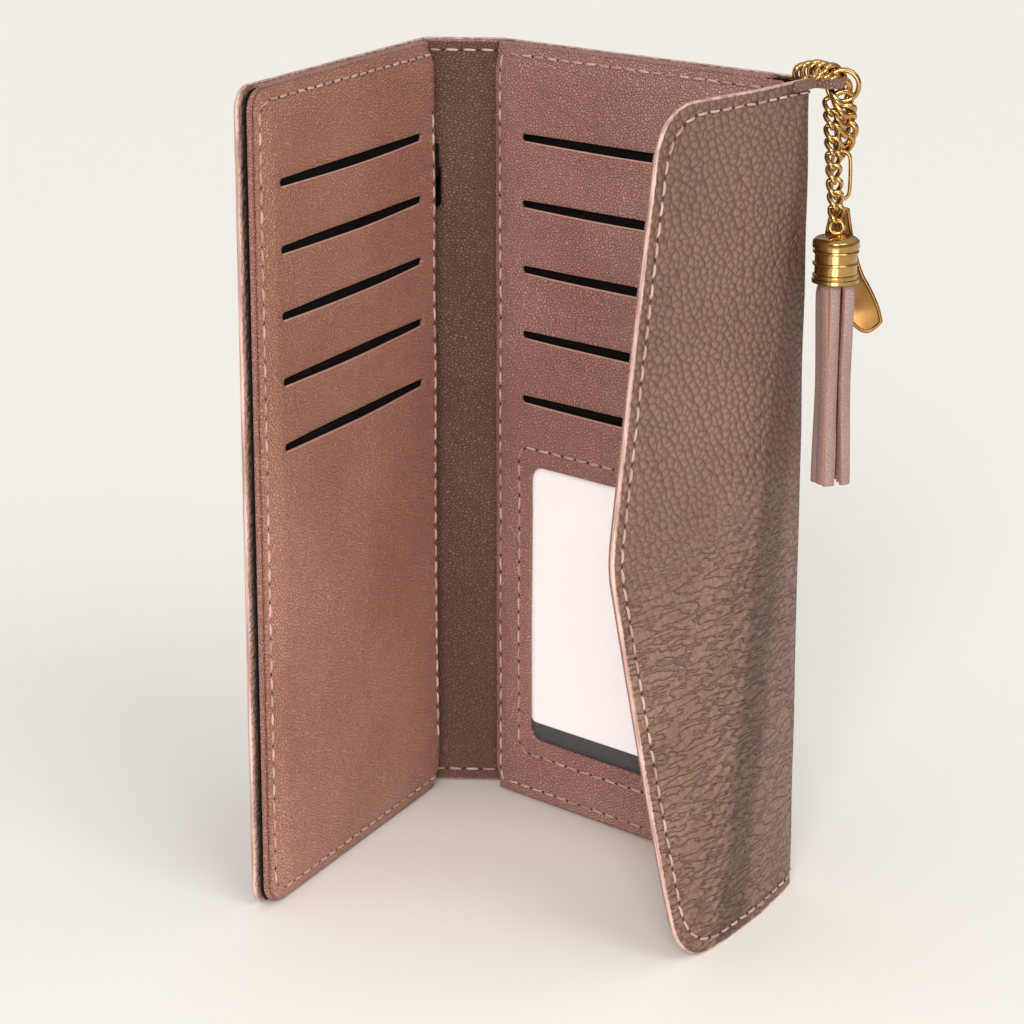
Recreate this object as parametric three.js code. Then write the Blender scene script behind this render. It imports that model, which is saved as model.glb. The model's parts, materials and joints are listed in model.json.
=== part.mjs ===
// Long wallet with a chevron flap, standing half open on its short end.
// Millimetres, +Z up.  The origin is the middle of the back panel's bottom edge.
// +X runs along the back panel from the spine to the flap side, and -Y points into the wallet.
//
// Every panel is built in its own group: x along the panel, y up, z into the wallet.
// z = 0 is the middle of the outer leather, and so each fold turns about a y axis at z = 0.

import * as THREE from 'three';

// ---------- overall sizes ----------
const HEIGHT = 190;
const BACK_WIDTH = 97;
const SPINE_WIDTH = 18.5;
const FLAP_CORNER = 34;            // flap length at its top and bottom corners
const FLAP_POINT = 53;             // flap length at the point of the chevron
const COVER_SHORT = 3;             // closed, the cover ends this far inside the side strip
const STRIP_EASE = 3.5;            // the strip wraps what the spine encloses

// ---------- how far each fold is bent, in degrees ----------
const SPINE_BEND = 41.5;
const COVER_BEND = 69.5;
const STRIP_BEND = 80;
const FLAP_BEND = 5;

// ---------- sheet thicknesses ----------
const LEATHER = 1.1;
const STIFFENER = 0.5;
const LINING = 0.35;
const CARD_LEATHER = 0.9;
const FLAP_LINING = 0.6;
const SLOT_LINING = 0.25;
const INSERT = 0.4;
const FILM = 0.2;
const PLATE = 0.4;                 // flexible magnet and its steel plate

// ---------- clearances ----------
const LAYER_GAP = 0.25;            // between two sheets that lie on each other
const FOLD_EASE = 0.35;            // of a sheet's edge at a fold, over the depth of its face
const EDGE_INSET = 0.8;            // linings and card panels end this far inside the leather
const STIFFENER_INSET = 5;
const RIM = 0.3;                   // rounding of the cut leather edges

// ---------- compartments ----------
const BILL_SPACE = 1.6;
const ZIP_SPACE = 1.5;
const BACK_PANEL_EDGE = 3.4;       // card panel's edge from the spine fold
const COVER_PANEL_EDGE = 5.4;      // the same on the cover, where the zip needs room
const BACK_PANEL_END = 3.2;        // card panel's edge from the strip fold
const CORNER = 5;
const FLAP_CORNER_ROUND = 12;
const FLAP_POINT_ROUND = 5;

// ---------- card slots and the window ----------
const SLOT_HEIGHT = 1.8;
const SLOT_COUNT = 5;
const SLOT_BELOW_TOP = 22;         // the highest slot's middle
const BACK_SLOT_PITCH = 16;
const COVER_SLOT_PITCH = 15;
const BACK_SLOT_SIDE = 9.7;        // from a slot's end to the card panel's edge
const COVER_SLOT_SIDE = 8;
const SLOT_LINING_SIDE = 3;        // lining past each end of a slot
const SLOT_LINING_ABOVE = 3;       // lining above the slot's middle
const WINDOW_SIDE = 12.7;          // from the window to the card panel's edge
const WINDOW_LOW = 17;
const WINDOW_BELOW_SLOT = 16.5;
const WINDOW_CORNER = 4;
const WINDOW_LAP = 4;              // film and backing card past the window's edge
const INSERT_SHORT = 8;            // the paper card ends this far above the film's lower edge

// ---------- zip ----------
const ZIP_LOW = 14;
const ZIP_BELOW_TOP = 19;
const TEETH_DEEP = 1.0;
const TEETH_PROUD = 1.2;
const TOOTH_PITCH = 2;
const TAPE = 0.2;
const TAPE_WIDTH = 4.5;
const SLIDER_HEIGHT = 8;
const SLIDER_BELOW_STOP = 6;       // the slider's rest place, nearly closed
const SLIDER_WALL = 0.5;
const SLIDER_CLEARANCE = 0.3;
const PULL_LENGTH = 10;
const PULL_WIDTH = 3;
const PULL = 0.8;
const PULL_LAP = 2.4;              // the pull's upper end over the slider

// ---------- hidden closure ----------
const MAGNET_RADIUS = 7;
const MAGNET_FROM_FOLD = 38;
const MAGNET_HEIGHT = HEIGHT / 2;

// ---------- charm ----------
const TAB = 1.0;                   // thickness of the leather tab
const TAB_HEIGHT = 4;
const TAB_TOP = HEIGHT + 1;
const TAB_LOOP_RADIUS = 2.0;      // inside of the loop
const TAB_FOOT = 9;
const TAB_REACH = new THREE.Vector2(-2.19, 4.1);   // loop centre: along the strip, out from it
const CHARM_TURN = -54.8;          // degrees between the strip and the charm's own plane
const WIRE = 0.5;                  // radius of the chain's wire
const RING_WIRE = 0.55;
const WIRE_GAP = 0.25;
const SMALL_RING = 3.5;
const LARGE_RING = 4.2;
const LINK_RADIUS = 1.65;
const STRAND_OFFSET = 2.4;         // each strand's place on the large ring
const STRAND_RISE = 1.95;          // first link's top over the ring's wire there
const TASSEL_LINKS = 6;
const LEAF_LINKS = 2;
const TASSEL_PLACE = new THREE.Vector2(0.9, -3.2);
const LEAF_PLACE = new THREE.Vector2(-0.4, 3.0);
const OVAL_RADIUS = 2.1;
const OVAL_DROP = 4.35;            // below the large ring
const OVAL_LENGTH = 11.9;
const JUMP_RING = 1.9;
const JUMP_WIRE = 0.45;
const EYE_RADIUS = 1.5;
const CAP_RADIUS = 5.3;
const CAP_HEIGHT = 10.2;
const CAP_DROP = 22.45;            // below the large ring
const CAP_WALL = 0.6;
const CAP_MOUTH = 3;
const TASSEL_STRIPS = 5;
const TASSEL_STRIP_WIDTH = 4;
const TASSEL_STRIP = 1.1;
const TASSEL_CIRCLE = 3.4;
const TASSEL_HANG = 47;            // strips below the cap's mouth
const LEAF = 1.0;
const LEAF_NECK = 1.9;             // half width at the jump ring
const LEAF_HOLE = 1.1;
const LEAF_LAP = 0.1;              // hole's middle below the jump ring's wire
const LEAF_SWEEP = 10.2;           // how far the tip curves aside
const LEAF_BELLY = 3.4;
const LEAF_HANG = 25.5;

// ---------- panel sizes and heights, worked out from the sizes above ----------
const COVER_WIDTH = BACK_WIDTH - COVER_SHORT;
const STRIP_WIDTH = SPINE_WIDTH + STRIP_EASE;
const SLOT_TOP = HEIGHT - SLOT_BELOW_TOP;
const WINDOW_HIGH = SLOT_TOP - (SLOT_COUNT - 1) * BACK_SLOT_PITCH - WINDOW_BELOW_SLOT;
const ZIP_HIGH = HEIGHT - ZIP_BELOW_TOP;
const SLIDER_TOP = ZIP_HIGH - SLIDER_BELOW_STOP;
const smallRingY = TAB_TOP + WIRE + WIRE_GAP - SMALL_RING;
const largeRingY = smallRingY - SMALL_RING + WIRE + RING_WIRE + WIRE_GAP - LARGE_RING;
const OVAL_TOP = largeRingY - LARGE_RING - OVAL_DROP;
const CAP_TOP = largeRingY - LARGE_RING - CAP_DROP;
const TASSEL_LOW = CAP_TOP - CAP_HEIGHT - TASSEL_HANG;

// ---------- depths, worked out from the thicknesses ----------
const stiffenerDepth = LEATHER / 2 + LAYER_GAP;
const liningDepth = stiffenerDepth + STIFFENER + LAYER_GAP;
const billWallDepth = liningDepth + LINING + BILL_SPACE;
const backSlotLiningDepth = billWallDepth + LINING + LAYER_GAP;
const filmDepth = backSlotLiningDepth + INSERT + LAYER_GAP;
const backPanelDepth = filmDepth + FILM + LAYER_GAP;
const coinWallDepth = liningDepth + LINING + LAYER_GAP;
const zipDepth = coinWallDepth + CARD_LEATHER + ZIP_SPACE / 2;
const coverPanelDepth = zipDepth + ZIP_SPACE / 2;
const coverSlotLiningDepth = coverPanelDepth - LAYER_GAP - SLOT_LINING;
const spineLiningDepth = LEATHER / 2 + LAYER_GAP;
const flapMagnetDepth = LEATHER / 2 + LAYER_GAP;
const flapLiningDepth = flapMagnetDepth + PLATE + LAYER_GAP;

// ---------- from a fold's axis to the edges of the leather and of a lining inside it ----------
const FOLD_GAP = LEATHER / 2 + FOLD_EASE;
const LINING_FOLD_GAP = flapLiningDepth + FLAP_LINING + FOLD_EASE;

// ---------- materials ----------
const material = (color, roughness, metalness = 0) =>
  new THREE.MeshStandardMaterial({ color, roughness, metalness });
const PEBBLED = material(0x9d8583, 0.6);
const SMOOTH = material(0xb8958e, 0.5);
const BLACK_FABRIC = material(0x1d1a1b, 0.9);
const BOARD = material(0x8d8172, 0.9);
const CLEAR_FILM = material(0xe8ecec, 0.15);
const PAPER = material(0xece8e4, 0.8);
const BLACK_METAL = material(0x161616, 0.35, 0.7);
const STEEL = material(0x8f9092, 0.4, 0.9);
const GOLD = material(0xc9a25c, 0.25, 1);
const BRONZE = material(0xa97c4c, 0.35, 1);

// ---------- small helpers ----------
const radians = THREE.MathUtils.degToRad;

function place(parent, name, geometry, look, x = 0, y = 0, z = 0) {
  const mesh = new THREE.Mesh(geometry, look);
  mesh.name = name;
  mesh.position.set(x, y, z);
  parent.add(mesh);
  return mesh;
}

function frame(parent, x, turn, y = 0, z = 0) {
  const group = new THREE.Group();
  group.position.set(x, y, z);
  group.rotation.y = radians(turn);
  parent.add(group);
  return group;
}

// A closed outline through corners given as [x, y, rounding].
function outline(corners) {
  const shape = new THREE.Shape();
  const count = corners.length;
  corners.forEach(([x, y, round], index) => {
    const corner = new THREE.Vector2(x, y);
    const before = new THREE.Vector2(...corners[(index + count - 1) % count]);
    const after = new THREE.Vector2(...corners[(index + 1) % count]);
    const start = corner.clone().add(before.sub(corner).setLength(round));
    const end = corner.clone().add(after.sub(corner).setLength(round));
    if (index === 0) shape.moveTo(start.x, start.y);
    else shape.lineTo(start.x, start.y);
    if (round > 0) shape.quadraticCurveTo(x, y, end.x, end.y);
  });
  shape.closePath();
  return shape;
}

function rectangle(x0, x1, y0, y1, leftRound = 0, rightRound = leftRound) {
  return outline([
    [x0, y0, leftRound], [x1, y0, rightRound], [x1, y1, rightRound], [x0, y1, leftRound],
  ]);
}

function slotHole(x0, x1, y) {
  const hole = new THREE.Path();
  const radius = SLOT_HEIGHT / 2;
  hole.absarc(x0 + radius, y, radius, Math.PI / 2, -Math.PI / 2, false);
  hole.absarc(x1 - radius, y, radius, -Math.PI / 2, Math.PI / 2, false);
  hole.closePath();
  return hole;
}

// A flat sheet whose near face is at the given depth, with its rim rounded where rim > 0.
function sheet(parent, name, shape, depth, thickness, look, rim = 0) {
  const geometry = new THREE.ExtrudeGeometry(shape, {
    depth: thickness - 2 * rim,
    bevelEnabled: rim > 0,
    bevelThickness: rim,
    bevelSize: rim,
    bevelOffset: -rim,
    bevelSegments: 2,
    curveSegments: 6,
  });
  return place(parent, name, geometry, look, 0, 0, depth + rim);
}

// A ring of round wire, drawn out along y until its wire's middle is length tall.
function ring(parent, name, radius, wire, look, length = 2 * radius, segments = 20) {
  const geometry = new THREE.TorusGeometry(radius, wire, 8, segments);
  const points = geometry.attributes.position;
  const stretch = (length - 2 * radius) / 2;
  for (let i = 0; i < points.count; i += 1) {
    const y = points.getY(i);
    if (Math.abs(y) > radius * 0.2) points.setY(i, y + Math.sign(y) * stretch);
  }
  return place(parent, name, geometry, look);
}

// ---------- card slots, shared by the two card panels ----------
function addSlots(parent, side, panelShape, x0, x1, pitch, liningDepthHere) {
  for (let index = 0; index < SLOT_COUNT; index += 1) {
    const y = SLOT_TOP - index * pitch;
    panelShape.holes.push(slotHole(x0, x1, y));
    const low = y + SLOT_LINING_ABOVE + LAYER_GAP - pitch;
    const patch = rectangle(x0 - SLOT_LINING_SIDE, x1 + SLOT_LINING_SIDE, low, y + SLOT_LINING_ABOVE);
    const name = `${side}_slot_lining_${index + 1}`;
    sheet(parent, name, patch, liningDepthHere, SLOT_LINING, BLACK_FABRIC);
  }
}

// ---------- back panel ----------
function addBack(back) {
  const half = BACK_WIDTH / 2;
  const low = EDGE_INSET;
  const high = HEIGHT - EDGE_INSET;
  const panelLeft = -half + BACK_PANEL_EDGE;
  const panelRight = half - BACK_PANEL_END;

  const leather = rectangle(-half + FOLD_GAP, half - FOLD_GAP, 0, HEIGHT);
  sheet(back, 'back_leather', leather, -LEATHER / 2, LEATHER, PEBBLED, RIM);

  const board = rectangle(
    -half + STIFFENER_INSET, half - STIFFENER_INSET, STIFFENER_INSET, HEIGHT - STIFFENER_INSET, 3,
  );
  sheet(back, 'back_stiffener', board, stiffenerDepth, STIFFENER, BOARD);

  const lining = rectangle(-half + LINING_FOLD_GAP, half - LINING_FOLD_GAP, low, high);
  sheet(back, 'back_lining', lining, liningDepth, LINING, BLACK_FABRIC);

  const wall = rectangle(panelLeft, panelRight, low, high);
  sheet(back, 'bill_pocket_wall', wall, billWallDepth, LINING, BLACK_FABRIC);

  const panel = rectangle(panelLeft, panelRight, low, high, 1.5);
  const slotLeft = panelLeft + BACK_SLOT_SIDE;
  const slotRight = panelRight - BACK_SLOT_SIDE;
  addSlots(back, 'back', panel, slotLeft, slotRight, BACK_SLOT_PITCH, backSlotLiningDepth);
  const x0 = panelLeft + WINDOW_SIDE;
  const x1 = panelRight - WINDOW_SIDE;
  panel.holes.push(rectangle(x0, x1, WINDOW_LOW, WINDOW_HIGH, WINDOW_CORNER));
  sheet(back, 'back_card_panel', panel, backPanelDepth, CARD_LEATHER, SMOOTH, RIM);

  const filmLow = WINDOW_LOW - WINDOW_LAP;
  const filmHigh = WINDOW_HIGH + WINDOW_LAP;
  const film = rectangle(x0 - WINDOW_LAP, x1 + WINDOW_LAP, filmLow, filmHigh, WINDOW_CORNER);
  sheet(back, 'window_film', film, filmDepth, FILM, CLEAR_FILM);
  const card = rectangle(x0 - 1, x1 + 1, filmLow + INSERT_SHORT, filmHigh - 1, 2);
  sheet(back, 'insert_card', card, backSlotLiningDepth, INSERT, PAPER);
}

// ---------- spine ----------
function addSpine(spine) {
  const leather = rectangle(-SPINE_WIDTH + FOLD_GAP, -FOLD_GAP, 0, HEIGHT);
  sheet(spine, 'spine_leather', leather, -LEATHER / 2, LEATHER, PEBBLED, RIM);
  const lining = rectangle(
    -SPINE_WIDTH + LINING_FOLD_GAP, -LINING_FOLD_GAP, EDGE_INSET, HEIGHT - EDGE_INSET,
  );
  sheet(spine, 'spine_lining', lining, spineLiningDepth, FLAP_LINING, SMOOTH);
}

// ---------- zip of the coin pocket, along the cover panel's edge by the spine ----------
function teethGeometry(right) {
  const left = right - TEETH_DEEP;
  const notch = TEETH_DEEP * 0.4;
  const shape = new THREE.Shape();
  shape.moveTo(left, ZIP_LOW);
  const count = Math.floor((ZIP_HIGH - ZIP_LOW) / TOOTH_PITCH);
  for (let index = 0; index < count; index += 1) {
    const y = ZIP_LOW + index * TOOTH_PITCH;
    shape.lineTo(right, y);
    shape.lineTo(right, y + TOOTH_PITCH * 0.6);
    shape.lineTo(right - notch, y + TOOTH_PITCH * 0.6);
    shape.lineTo(right - notch, y + TOOTH_PITCH);
  }
  shape.lineTo(left, ZIP_LOW + count * TOOTH_PITCH);
  shape.closePath();
  return new THREE.ExtrudeGeometry(shape, { depth: TEETH_PROUD, bevelEnabled: false });
}

function addZip(cover) {
  const edge = -COVER_PANEL_EDGE;
  const teethRight = edge + LAYER_GAP + TEETH_DEEP;
  place(cover, 'zip_teeth', teethGeometry(teethRight), BLACK_METAL, 0, 0, zipDepth - TEETH_PROUD / 2);

  const tape = rectangle(edge - TAPE_WIDTH, edge, ZIP_LOW, ZIP_HIGH);
  const tapeOffset = ZIP_SPACE / 2 - LAYER_GAP;
  sheet(cover, 'zip_tape_rear', tape, zipDepth - tapeOffset, TAPE, BLACK_FABRIC);
  sheet(cover, 'zip_tape_front', tape, zipDepth + tapeOffset - TAPE, TAPE, BLACK_FABRIC);

  const inner = TEETH_PROUD / 2 + SLIDER_CLEARANCE;
  const outer = inner + SLIDER_WALL;
  const mouth = edge + LAYER_GAP;
  const roof = teethRight + SLIDER_CLEARANCE;
  const crown = roof + SLIDER_WALL;
  const section = new THREE.Shape();
  section.moveTo(mouth, -outer);
  section.lineTo(crown, -outer);
  section.lineTo(crown, outer);
  section.lineTo(mouth, outer);
  section.lineTo(mouth, inner);
  section.lineTo(roof, inner);
  section.lineTo(roof, -inner);
  section.lineTo(mouth, -inner);
  section.closePath();
  const slider = new THREE.ExtrudeGeometry(section, { depth: SLIDER_HEIGHT, bevelEnabled: false });
  slider.rotateX(-Math.PI / 2);
  place(cover, 'zip_slider', slider, BLACK_METAL, 0, SLIDER_TOP - SLIDER_HEIGHT, zipDepth);

  const high = SLIDER_TOP - SLIDER_HEIGHT + PULL_LAP;
  const side = PULL_WIDTH / 2;
  const pullShape = rectangle(-side, side, high - PULL_LENGTH, high, 1);
  const pull = new THREE.ExtrudeGeometry(pullShape, { depth: PULL, bevelEnabled: false });
  pull.rotateY(Math.PI / 2);
  place(cover, 'zip_pull', pull, BLACK_METAL, crown + LAYER_GAP, 0, zipDepth);
}

// ---------- front cover ----------
function addCover(cover) {
  const low = EDGE_INSET;
  const high = HEIGHT - EDGE_INSET;
  const free = -COVER_WIDTH;
  const leather = rectangle(free, -FOLD_GAP, 0, HEIGHT, CORNER, 0);
  sheet(cover, 'cover_leather', leather, -LEATHER / 2, LEATHER, PEBBLED, RIM);

  const plateX = MAGNET_FROM_FOLD - BACK_WIDTH;
  const board = rectangle(
    free + STIFFENER_INSET, -STIFFENER_INSET, STIFFENER_INSET, HEIGHT - STIFFENER_INSET, 3,
  );
  const seat = new THREE.Path();
  seat.absarc(plateX, MAGNET_HEIGHT, MAGNET_RADIUS + LAYER_GAP, 0, 2 * Math.PI, false);
  board.holes.push(seat);
  sheet(cover, 'cover_stiffener', board, stiffenerDepth, STIFFENER, BOARD);
  const plate = new THREE.CylinderGeometry(MAGNET_RADIUS, MAGNET_RADIUS, PLATE, 24);
  plate.rotateX(Math.PI / 2);
  const plateDepth = stiffenerDepth + STIFFENER / 2;
  place(cover, 'cover_steel_plate', plate, STEEL, plateX, MAGNET_HEIGHT, plateDepth);

  const lining = rectangle(free + EDGE_INSET, -COVER_PANEL_EDGE, low, high, CORNER, 0);
  sheet(cover, 'cover_lining', lining, liningDepth, LINING, BLACK_FABRIC);
  sheet(cover, 'coin_pocket_wall', lining, coinWallDepth, CARD_LEATHER, SMOOTH, RIM);

  const panelLeft = free + 2 * EDGE_INSET;
  const panel = rectangle(panelLeft, -COVER_PANEL_EDGE, low, high, CORNER, 0);
  const slotLeft = panelLeft + COVER_SLOT_SIDE;
  const slotRight = -COVER_PANEL_EDGE - COVER_SLOT_SIDE;
  addSlots(cover, 'cover', panel, slotLeft, slotRight, COVER_SLOT_PITCH, coverSlotLiningDepth);
  sheet(cover, 'cover_card_panel', panel, coverPanelDepth, CARD_LEATHER, SMOOTH, RIM);
  addZip(cover);
}

// ---------- side strip and flap ----------
function addStrip(strip) {
  const leather = rectangle(FOLD_GAP, STRIP_WIDTH - FOLD_GAP, 0, HEIGHT);
  sheet(strip, 'strip_leather', leather, -LEATHER / 2, LEATHER, PEBBLED, RIM);
  const lining = rectangle(
    LINING_FOLD_GAP, STRIP_WIDTH - LINING_FOLD_GAP, EDGE_INSET, HEIGHT - EDGE_INSET,
  );
  sheet(strip, 'strip_lining', lining, flapMagnetDepth, FLAP_LINING, SMOOTH);
}

function flapShape(fold, inset) {
  const corner = FLAP_CORNER - inset;
  return outline([
    [fold, inset, 0],
    [corner, inset, FLAP_CORNER_ROUND],
    [FLAP_POINT - inset, HEIGHT / 2, FLAP_POINT_ROUND],
    [corner, HEIGHT - inset, FLAP_CORNER_ROUND],
    [fold, HEIGHT - inset, 0],
  ]);
}

function addFlap(flap) {
  sheet(flap, 'flap_leather', flapShape(FOLD_GAP, 0), -LEATHER / 2, LEATHER, PEBBLED, RIM);
  const lining = flapShape(LINING_FOLD_GAP, EDGE_INSET / 2);
  sheet(flap, 'flap_lining', lining, flapLiningDepth, FLAP_LINING, SMOOTH);
  const magnet = new THREE.CylinderGeometry(MAGNET_RADIUS, MAGNET_RADIUS, PLATE, 24);
  magnet.rotateX(Math.PI / 2);
  const depth = flapMagnetDepth + PLATE / 2;
  place(flap, 'flap_magnet', magnet, STEEL, MAGNET_FROM_FOLD, MAGNET_HEIGHT, depth);
}

// ---------- leather tab that the charm hangs from ----------
function addTab(strip) {
  const near = LEATHER / 2 + LAYER_GAP + 0.05;
  const outer = TAB_LOOP_RADIUS + TAB;
  const { x, y } = TAB_REACH;
  const shape = new THREE.Shape();
  shape.moveTo(TAB_FOOT, near);
  shape.lineTo(TAB_FOOT, near + TAB);
  shape.lineTo(x + outer, near + TAB);
  shape.lineTo(x + outer, y);
  shape.absarc(x, y, outer, 0, 1.5 * Math.PI, false);
  shape.lineTo(x + outer, near);
  shape.closePath();
  const loop = new THREE.Path();
  loop.absarc(x, y, TAB_LOOP_RADIUS, 0, 2 * Math.PI, false);
  shape.holes.push(loop);
  const geometry = new THREE.ExtrudeGeometry(shape, {
    depth: TAB_HEIGHT, bevelEnabled: false, curveSegments: 16,
  });
  geometry.rotateX(-Math.PI / 2);
  place(strip, 'charm_tab', geometry, SMOOTH, 0, TAB_TOP - TAB_HEIGHT, 0);
}

// ---------- chains ----------
// Links hang one through the next from a wire at the top to one at the bottom, turned by a quarter
// each time.  topHook and bottomHook are the points where the first and the last link bear.
function addStrand(charm, name, count, topHook, bottomHook) {
  const overlap = 2 * WIRE + WIRE_GAP;
  const pitch = (topHook.y - bottomHook.y - overlap) / count;
  const length = pitch + overlap;
  for (let index = 0; index < count; index += 1) {
    const y = topHook.y - index * pitch - length / 2;
    const share = (topHook.y - y) / (topHook.y - bottomHook.y);
    const link = ring(charm, `${name}_link_${index + 1}`, LINK_RADIUS, WIRE, GOLD, length, 16);
    link.position.lerpVectors(topHook, bottomHook, share).setY(y);
    link.rotation.y = index % 2 === 0 ? 0 : Math.PI / 2;
  }
}

function addCharm(strip) {
  const reach = TAB_LOOP_RADIUS + TAB / 2;
  const turn = radians(CHARM_TURN);
  const x = TAB_REACH.x - reach * Math.cos(turn);
  const out = TAB_REACH.y - reach * Math.sin(turn);
  const charm = frame(strip, x, CHARM_TURN, 0, -out);

  const small = ring(charm, 'charm_small_ring', SMALL_RING, WIRE, GOLD);
  small.position.y = smallRingY;

  const large = ring(charm, 'charm_large_ring', LARGE_RING, RING_WIRE, GOLD, 2 * LARGE_RING, 28);
  large.position.y = largeRingY;
  large.rotation.y = Math.PI / 2;

  const drop = Math.sqrt(LARGE_RING ** 2 - STRAND_OFFSET ** 2);
  const hookY = largeRingY - drop + STRAND_RISE;
  const eyeY = CAP_TOP + WIRE_GAP + EYE_RADIUS + JUMP_WIRE;
  const eyeHook = eyeY + EYE_RADIUS - JUMP_WIRE - WIRE - WIRE_GAP;
  addStrand(
    charm, 'tassel_chain', TASSEL_LINKS,
    new THREE.Vector3(0, hookY, -STRAND_OFFSET),
    new THREE.Vector3(TASSEL_PLACE.x, eyeHook, TASSEL_PLACE.y),
  );
  const ovalHook = OVAL_TOP - 2 * WIRE - WIRE_GAP;
  addStrand(
    charm, 'leaf_chain', LEAF_LINKS,
    new THREE.Vector3(0, hookY, STRAND_OFFSET),
    new THREE.Vector3(LEAF_PLACE.x, ovalHook, LEAF_PLACE.y),
  );
  const ovalMiddle = OVAL_LENGTH - 2 * WIRE;
  const oval = ring(charm, 'leaf_oval_ring', OVAL_RADIUS, WIRE, GOLD, ovalMiddle);
  oval.position.set(LEAF_PLACE.x, OVAL_TOP - ovalMiddle / 2, LEAF_PLACE.y);

  addTassel(charm, eyeY);
  addLeaf(charm, OVAL_TOP - ovalMiddle);
}

// ---------- tassel ----------
function addTassel(charm, eyeY) {
  const tassel = frame(charm, TASSEL_PLACE.x, 0, 0, TASSEL_PLACE.y);
  const eye = ring(tassel, 'tassel_eye', EYE_RADIUS, JUMP_WIRE, GOLD);
  eye.position.y = eyeY;

  const bottom = CAP_TOP - CAP_HEIGHT;
  const inside = CAP_RADIUS - CAP_WALL;
  const band = 0.35;
  const profile = [
    [0, bottom + CAP_MOUTH], [inside, bottom + CAP_MOUTH], [inside, bottom],
    [CAP_RADIUS, bottom], [CAP_RADIUS, bottom + 1.2],
    [CAP_RADIUS - band, bottom + 1.5], [CAP_RADIUS - band, CAP_TOP - 2.3],
    [CAP_RADIUS, CAP_TOP - 2], [CAP_RADIUS, CAP_TOP - 0.9],
    [CAP_RADIUS - 0.9, CAP_TOP], [0, CAP_TOP],
  ].map(([r, y]) => new THREE.Vector2(r, y));
  place(tassel, 'tassel_cap', new THREE.LatheGeometry(profile, 36), GOLD);

  const top = bottom + CAP_MOUTH - WIRE_GAP;
  const long = top - TASSEL_LOW;
  for (let index = 0; index <= TASSEL_STRIPS; index += 1) {
    const around = frame(tassel, 0, (360 / TASSEL_STRIPS) * index);
    const out = index < TASSEL_STRIPS ? TASSEL_CIRCLE : 0;
    const strip = new THREE.BoxGeometry(TASSEL_STRIP_WIDTH, long, TASSEL_STRIP);
    place(around, `tassel_strip_${index + 1}`, strip, SMOOTH, 0, TASSEL_LOW + long / 2, out);
  }
}

// ---------- leaf ----------
function addLeaf(charm, ovalBottom) {
  const leaf = frame(charm, LEAF_PLACE.x, 0, 0, LEAF_PLACE.y);
  const jumpY = ovalBottom + WIRE + JUMP_WIRE + WIRE_GAP - JUMP_RING;
  const jump = ring(leaf, 'leaf_jump_ring', JUMP_RING, JUMP_WIRE, GOLD);
  jump.position.y = jumpY;
  jump.rotation.y = Math.PI / 2;

  const neck = LEAF_NECK;
  const shape = new THREE.Shape();
  shape.moveTo(neck, 0);
  shape.quadraticCurveTo(neck, neck, 0, neck);
  shape.quadraticCurveTo(-neck, neck, -neck, 0);
  shape.quadraticCurveTo(-LEAF_SWEEP * 0.31, -LEAF_HANG * 0.39, -LEAF_SWEEP * 0.55, -LEAF_HANG * 0.59);
  shape.quadraticCurveTo(-LEAF_SWEEP * 0.93, -LEAF_HANG * 0.82, -LEAF_SWEEP, -LEAF_HANG);
  shape.quadraticCurveTo(-LEAF_SWEEP * 0.74, -LEAF_HANG * 1.12, -LEAF_SWEEP * 0.34, -LEAF_HANG);
  shape.quadraticCurveTo(LEAF_BELLY * 1.06, -LEAF_HANG * 0.75, LEAF_BELLY, -LEAF_HANG * 0.39);
  shape.quadraticCurveTo(LEAF_BELLY * 0.88, -LEAF_HANG * 0.16, neck, 0);
  const hole = new THREE.Path();
  hole.absarc(0, 0, LEAF_HOLE, 0, 2 * Math.PI, false);
  shape.holes.push(hole);
  const geometry = new THREE.ExtrudeGeometry(shape, {
    depth: LEAF, bevelEnabled: false, curveSegments: 8,
  });
  place(leaf, 'leaf_charm', geometry, BRONZE, 0, jumpY - JUMP_RING - LEAF_LAP, -LEAF / 2);
}

// ---------- the whole wallet ----------
const wallet = new THREE.Group();
const back = new THREE.Group();
back.rotation.x = Math.PI / 2;
wallet.add(back);
addBack(back);

const spine = frame(back, -BACK_WIDTH / 2, SPINE_BEND);
addSpine(spine);
const cover = frame(spine, -SPINE_WIDTH, COVER_BEND);
addCover(cover);

const strip = frame(back, BACK_WIDTH / 2, -STRIP_BEND);
addStrip(strip);
const flap = frame(strip, STRIP_WIDTH, -FLAP_BEND);
addFlap(flap);
addTab(strip);
addCharm(strip);

export default wallet;
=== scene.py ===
"""Looks for the long wallet: leather, linings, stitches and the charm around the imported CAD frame.

Every soft piece is first made on the unrolled wallet and then bent into place.  A point there is
(t, z, depth) in millimetres: t runs from the cover's free edge to the flap's point and is 0 at the
spine fold, z is the height, and depth is 0 in the middle of the outer leather and grows inwards.
"""
import json
import math
import random

import bpy
import numpy as np
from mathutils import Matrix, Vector
from mathutils.geometry import delaunay_2d_cdt

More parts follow.
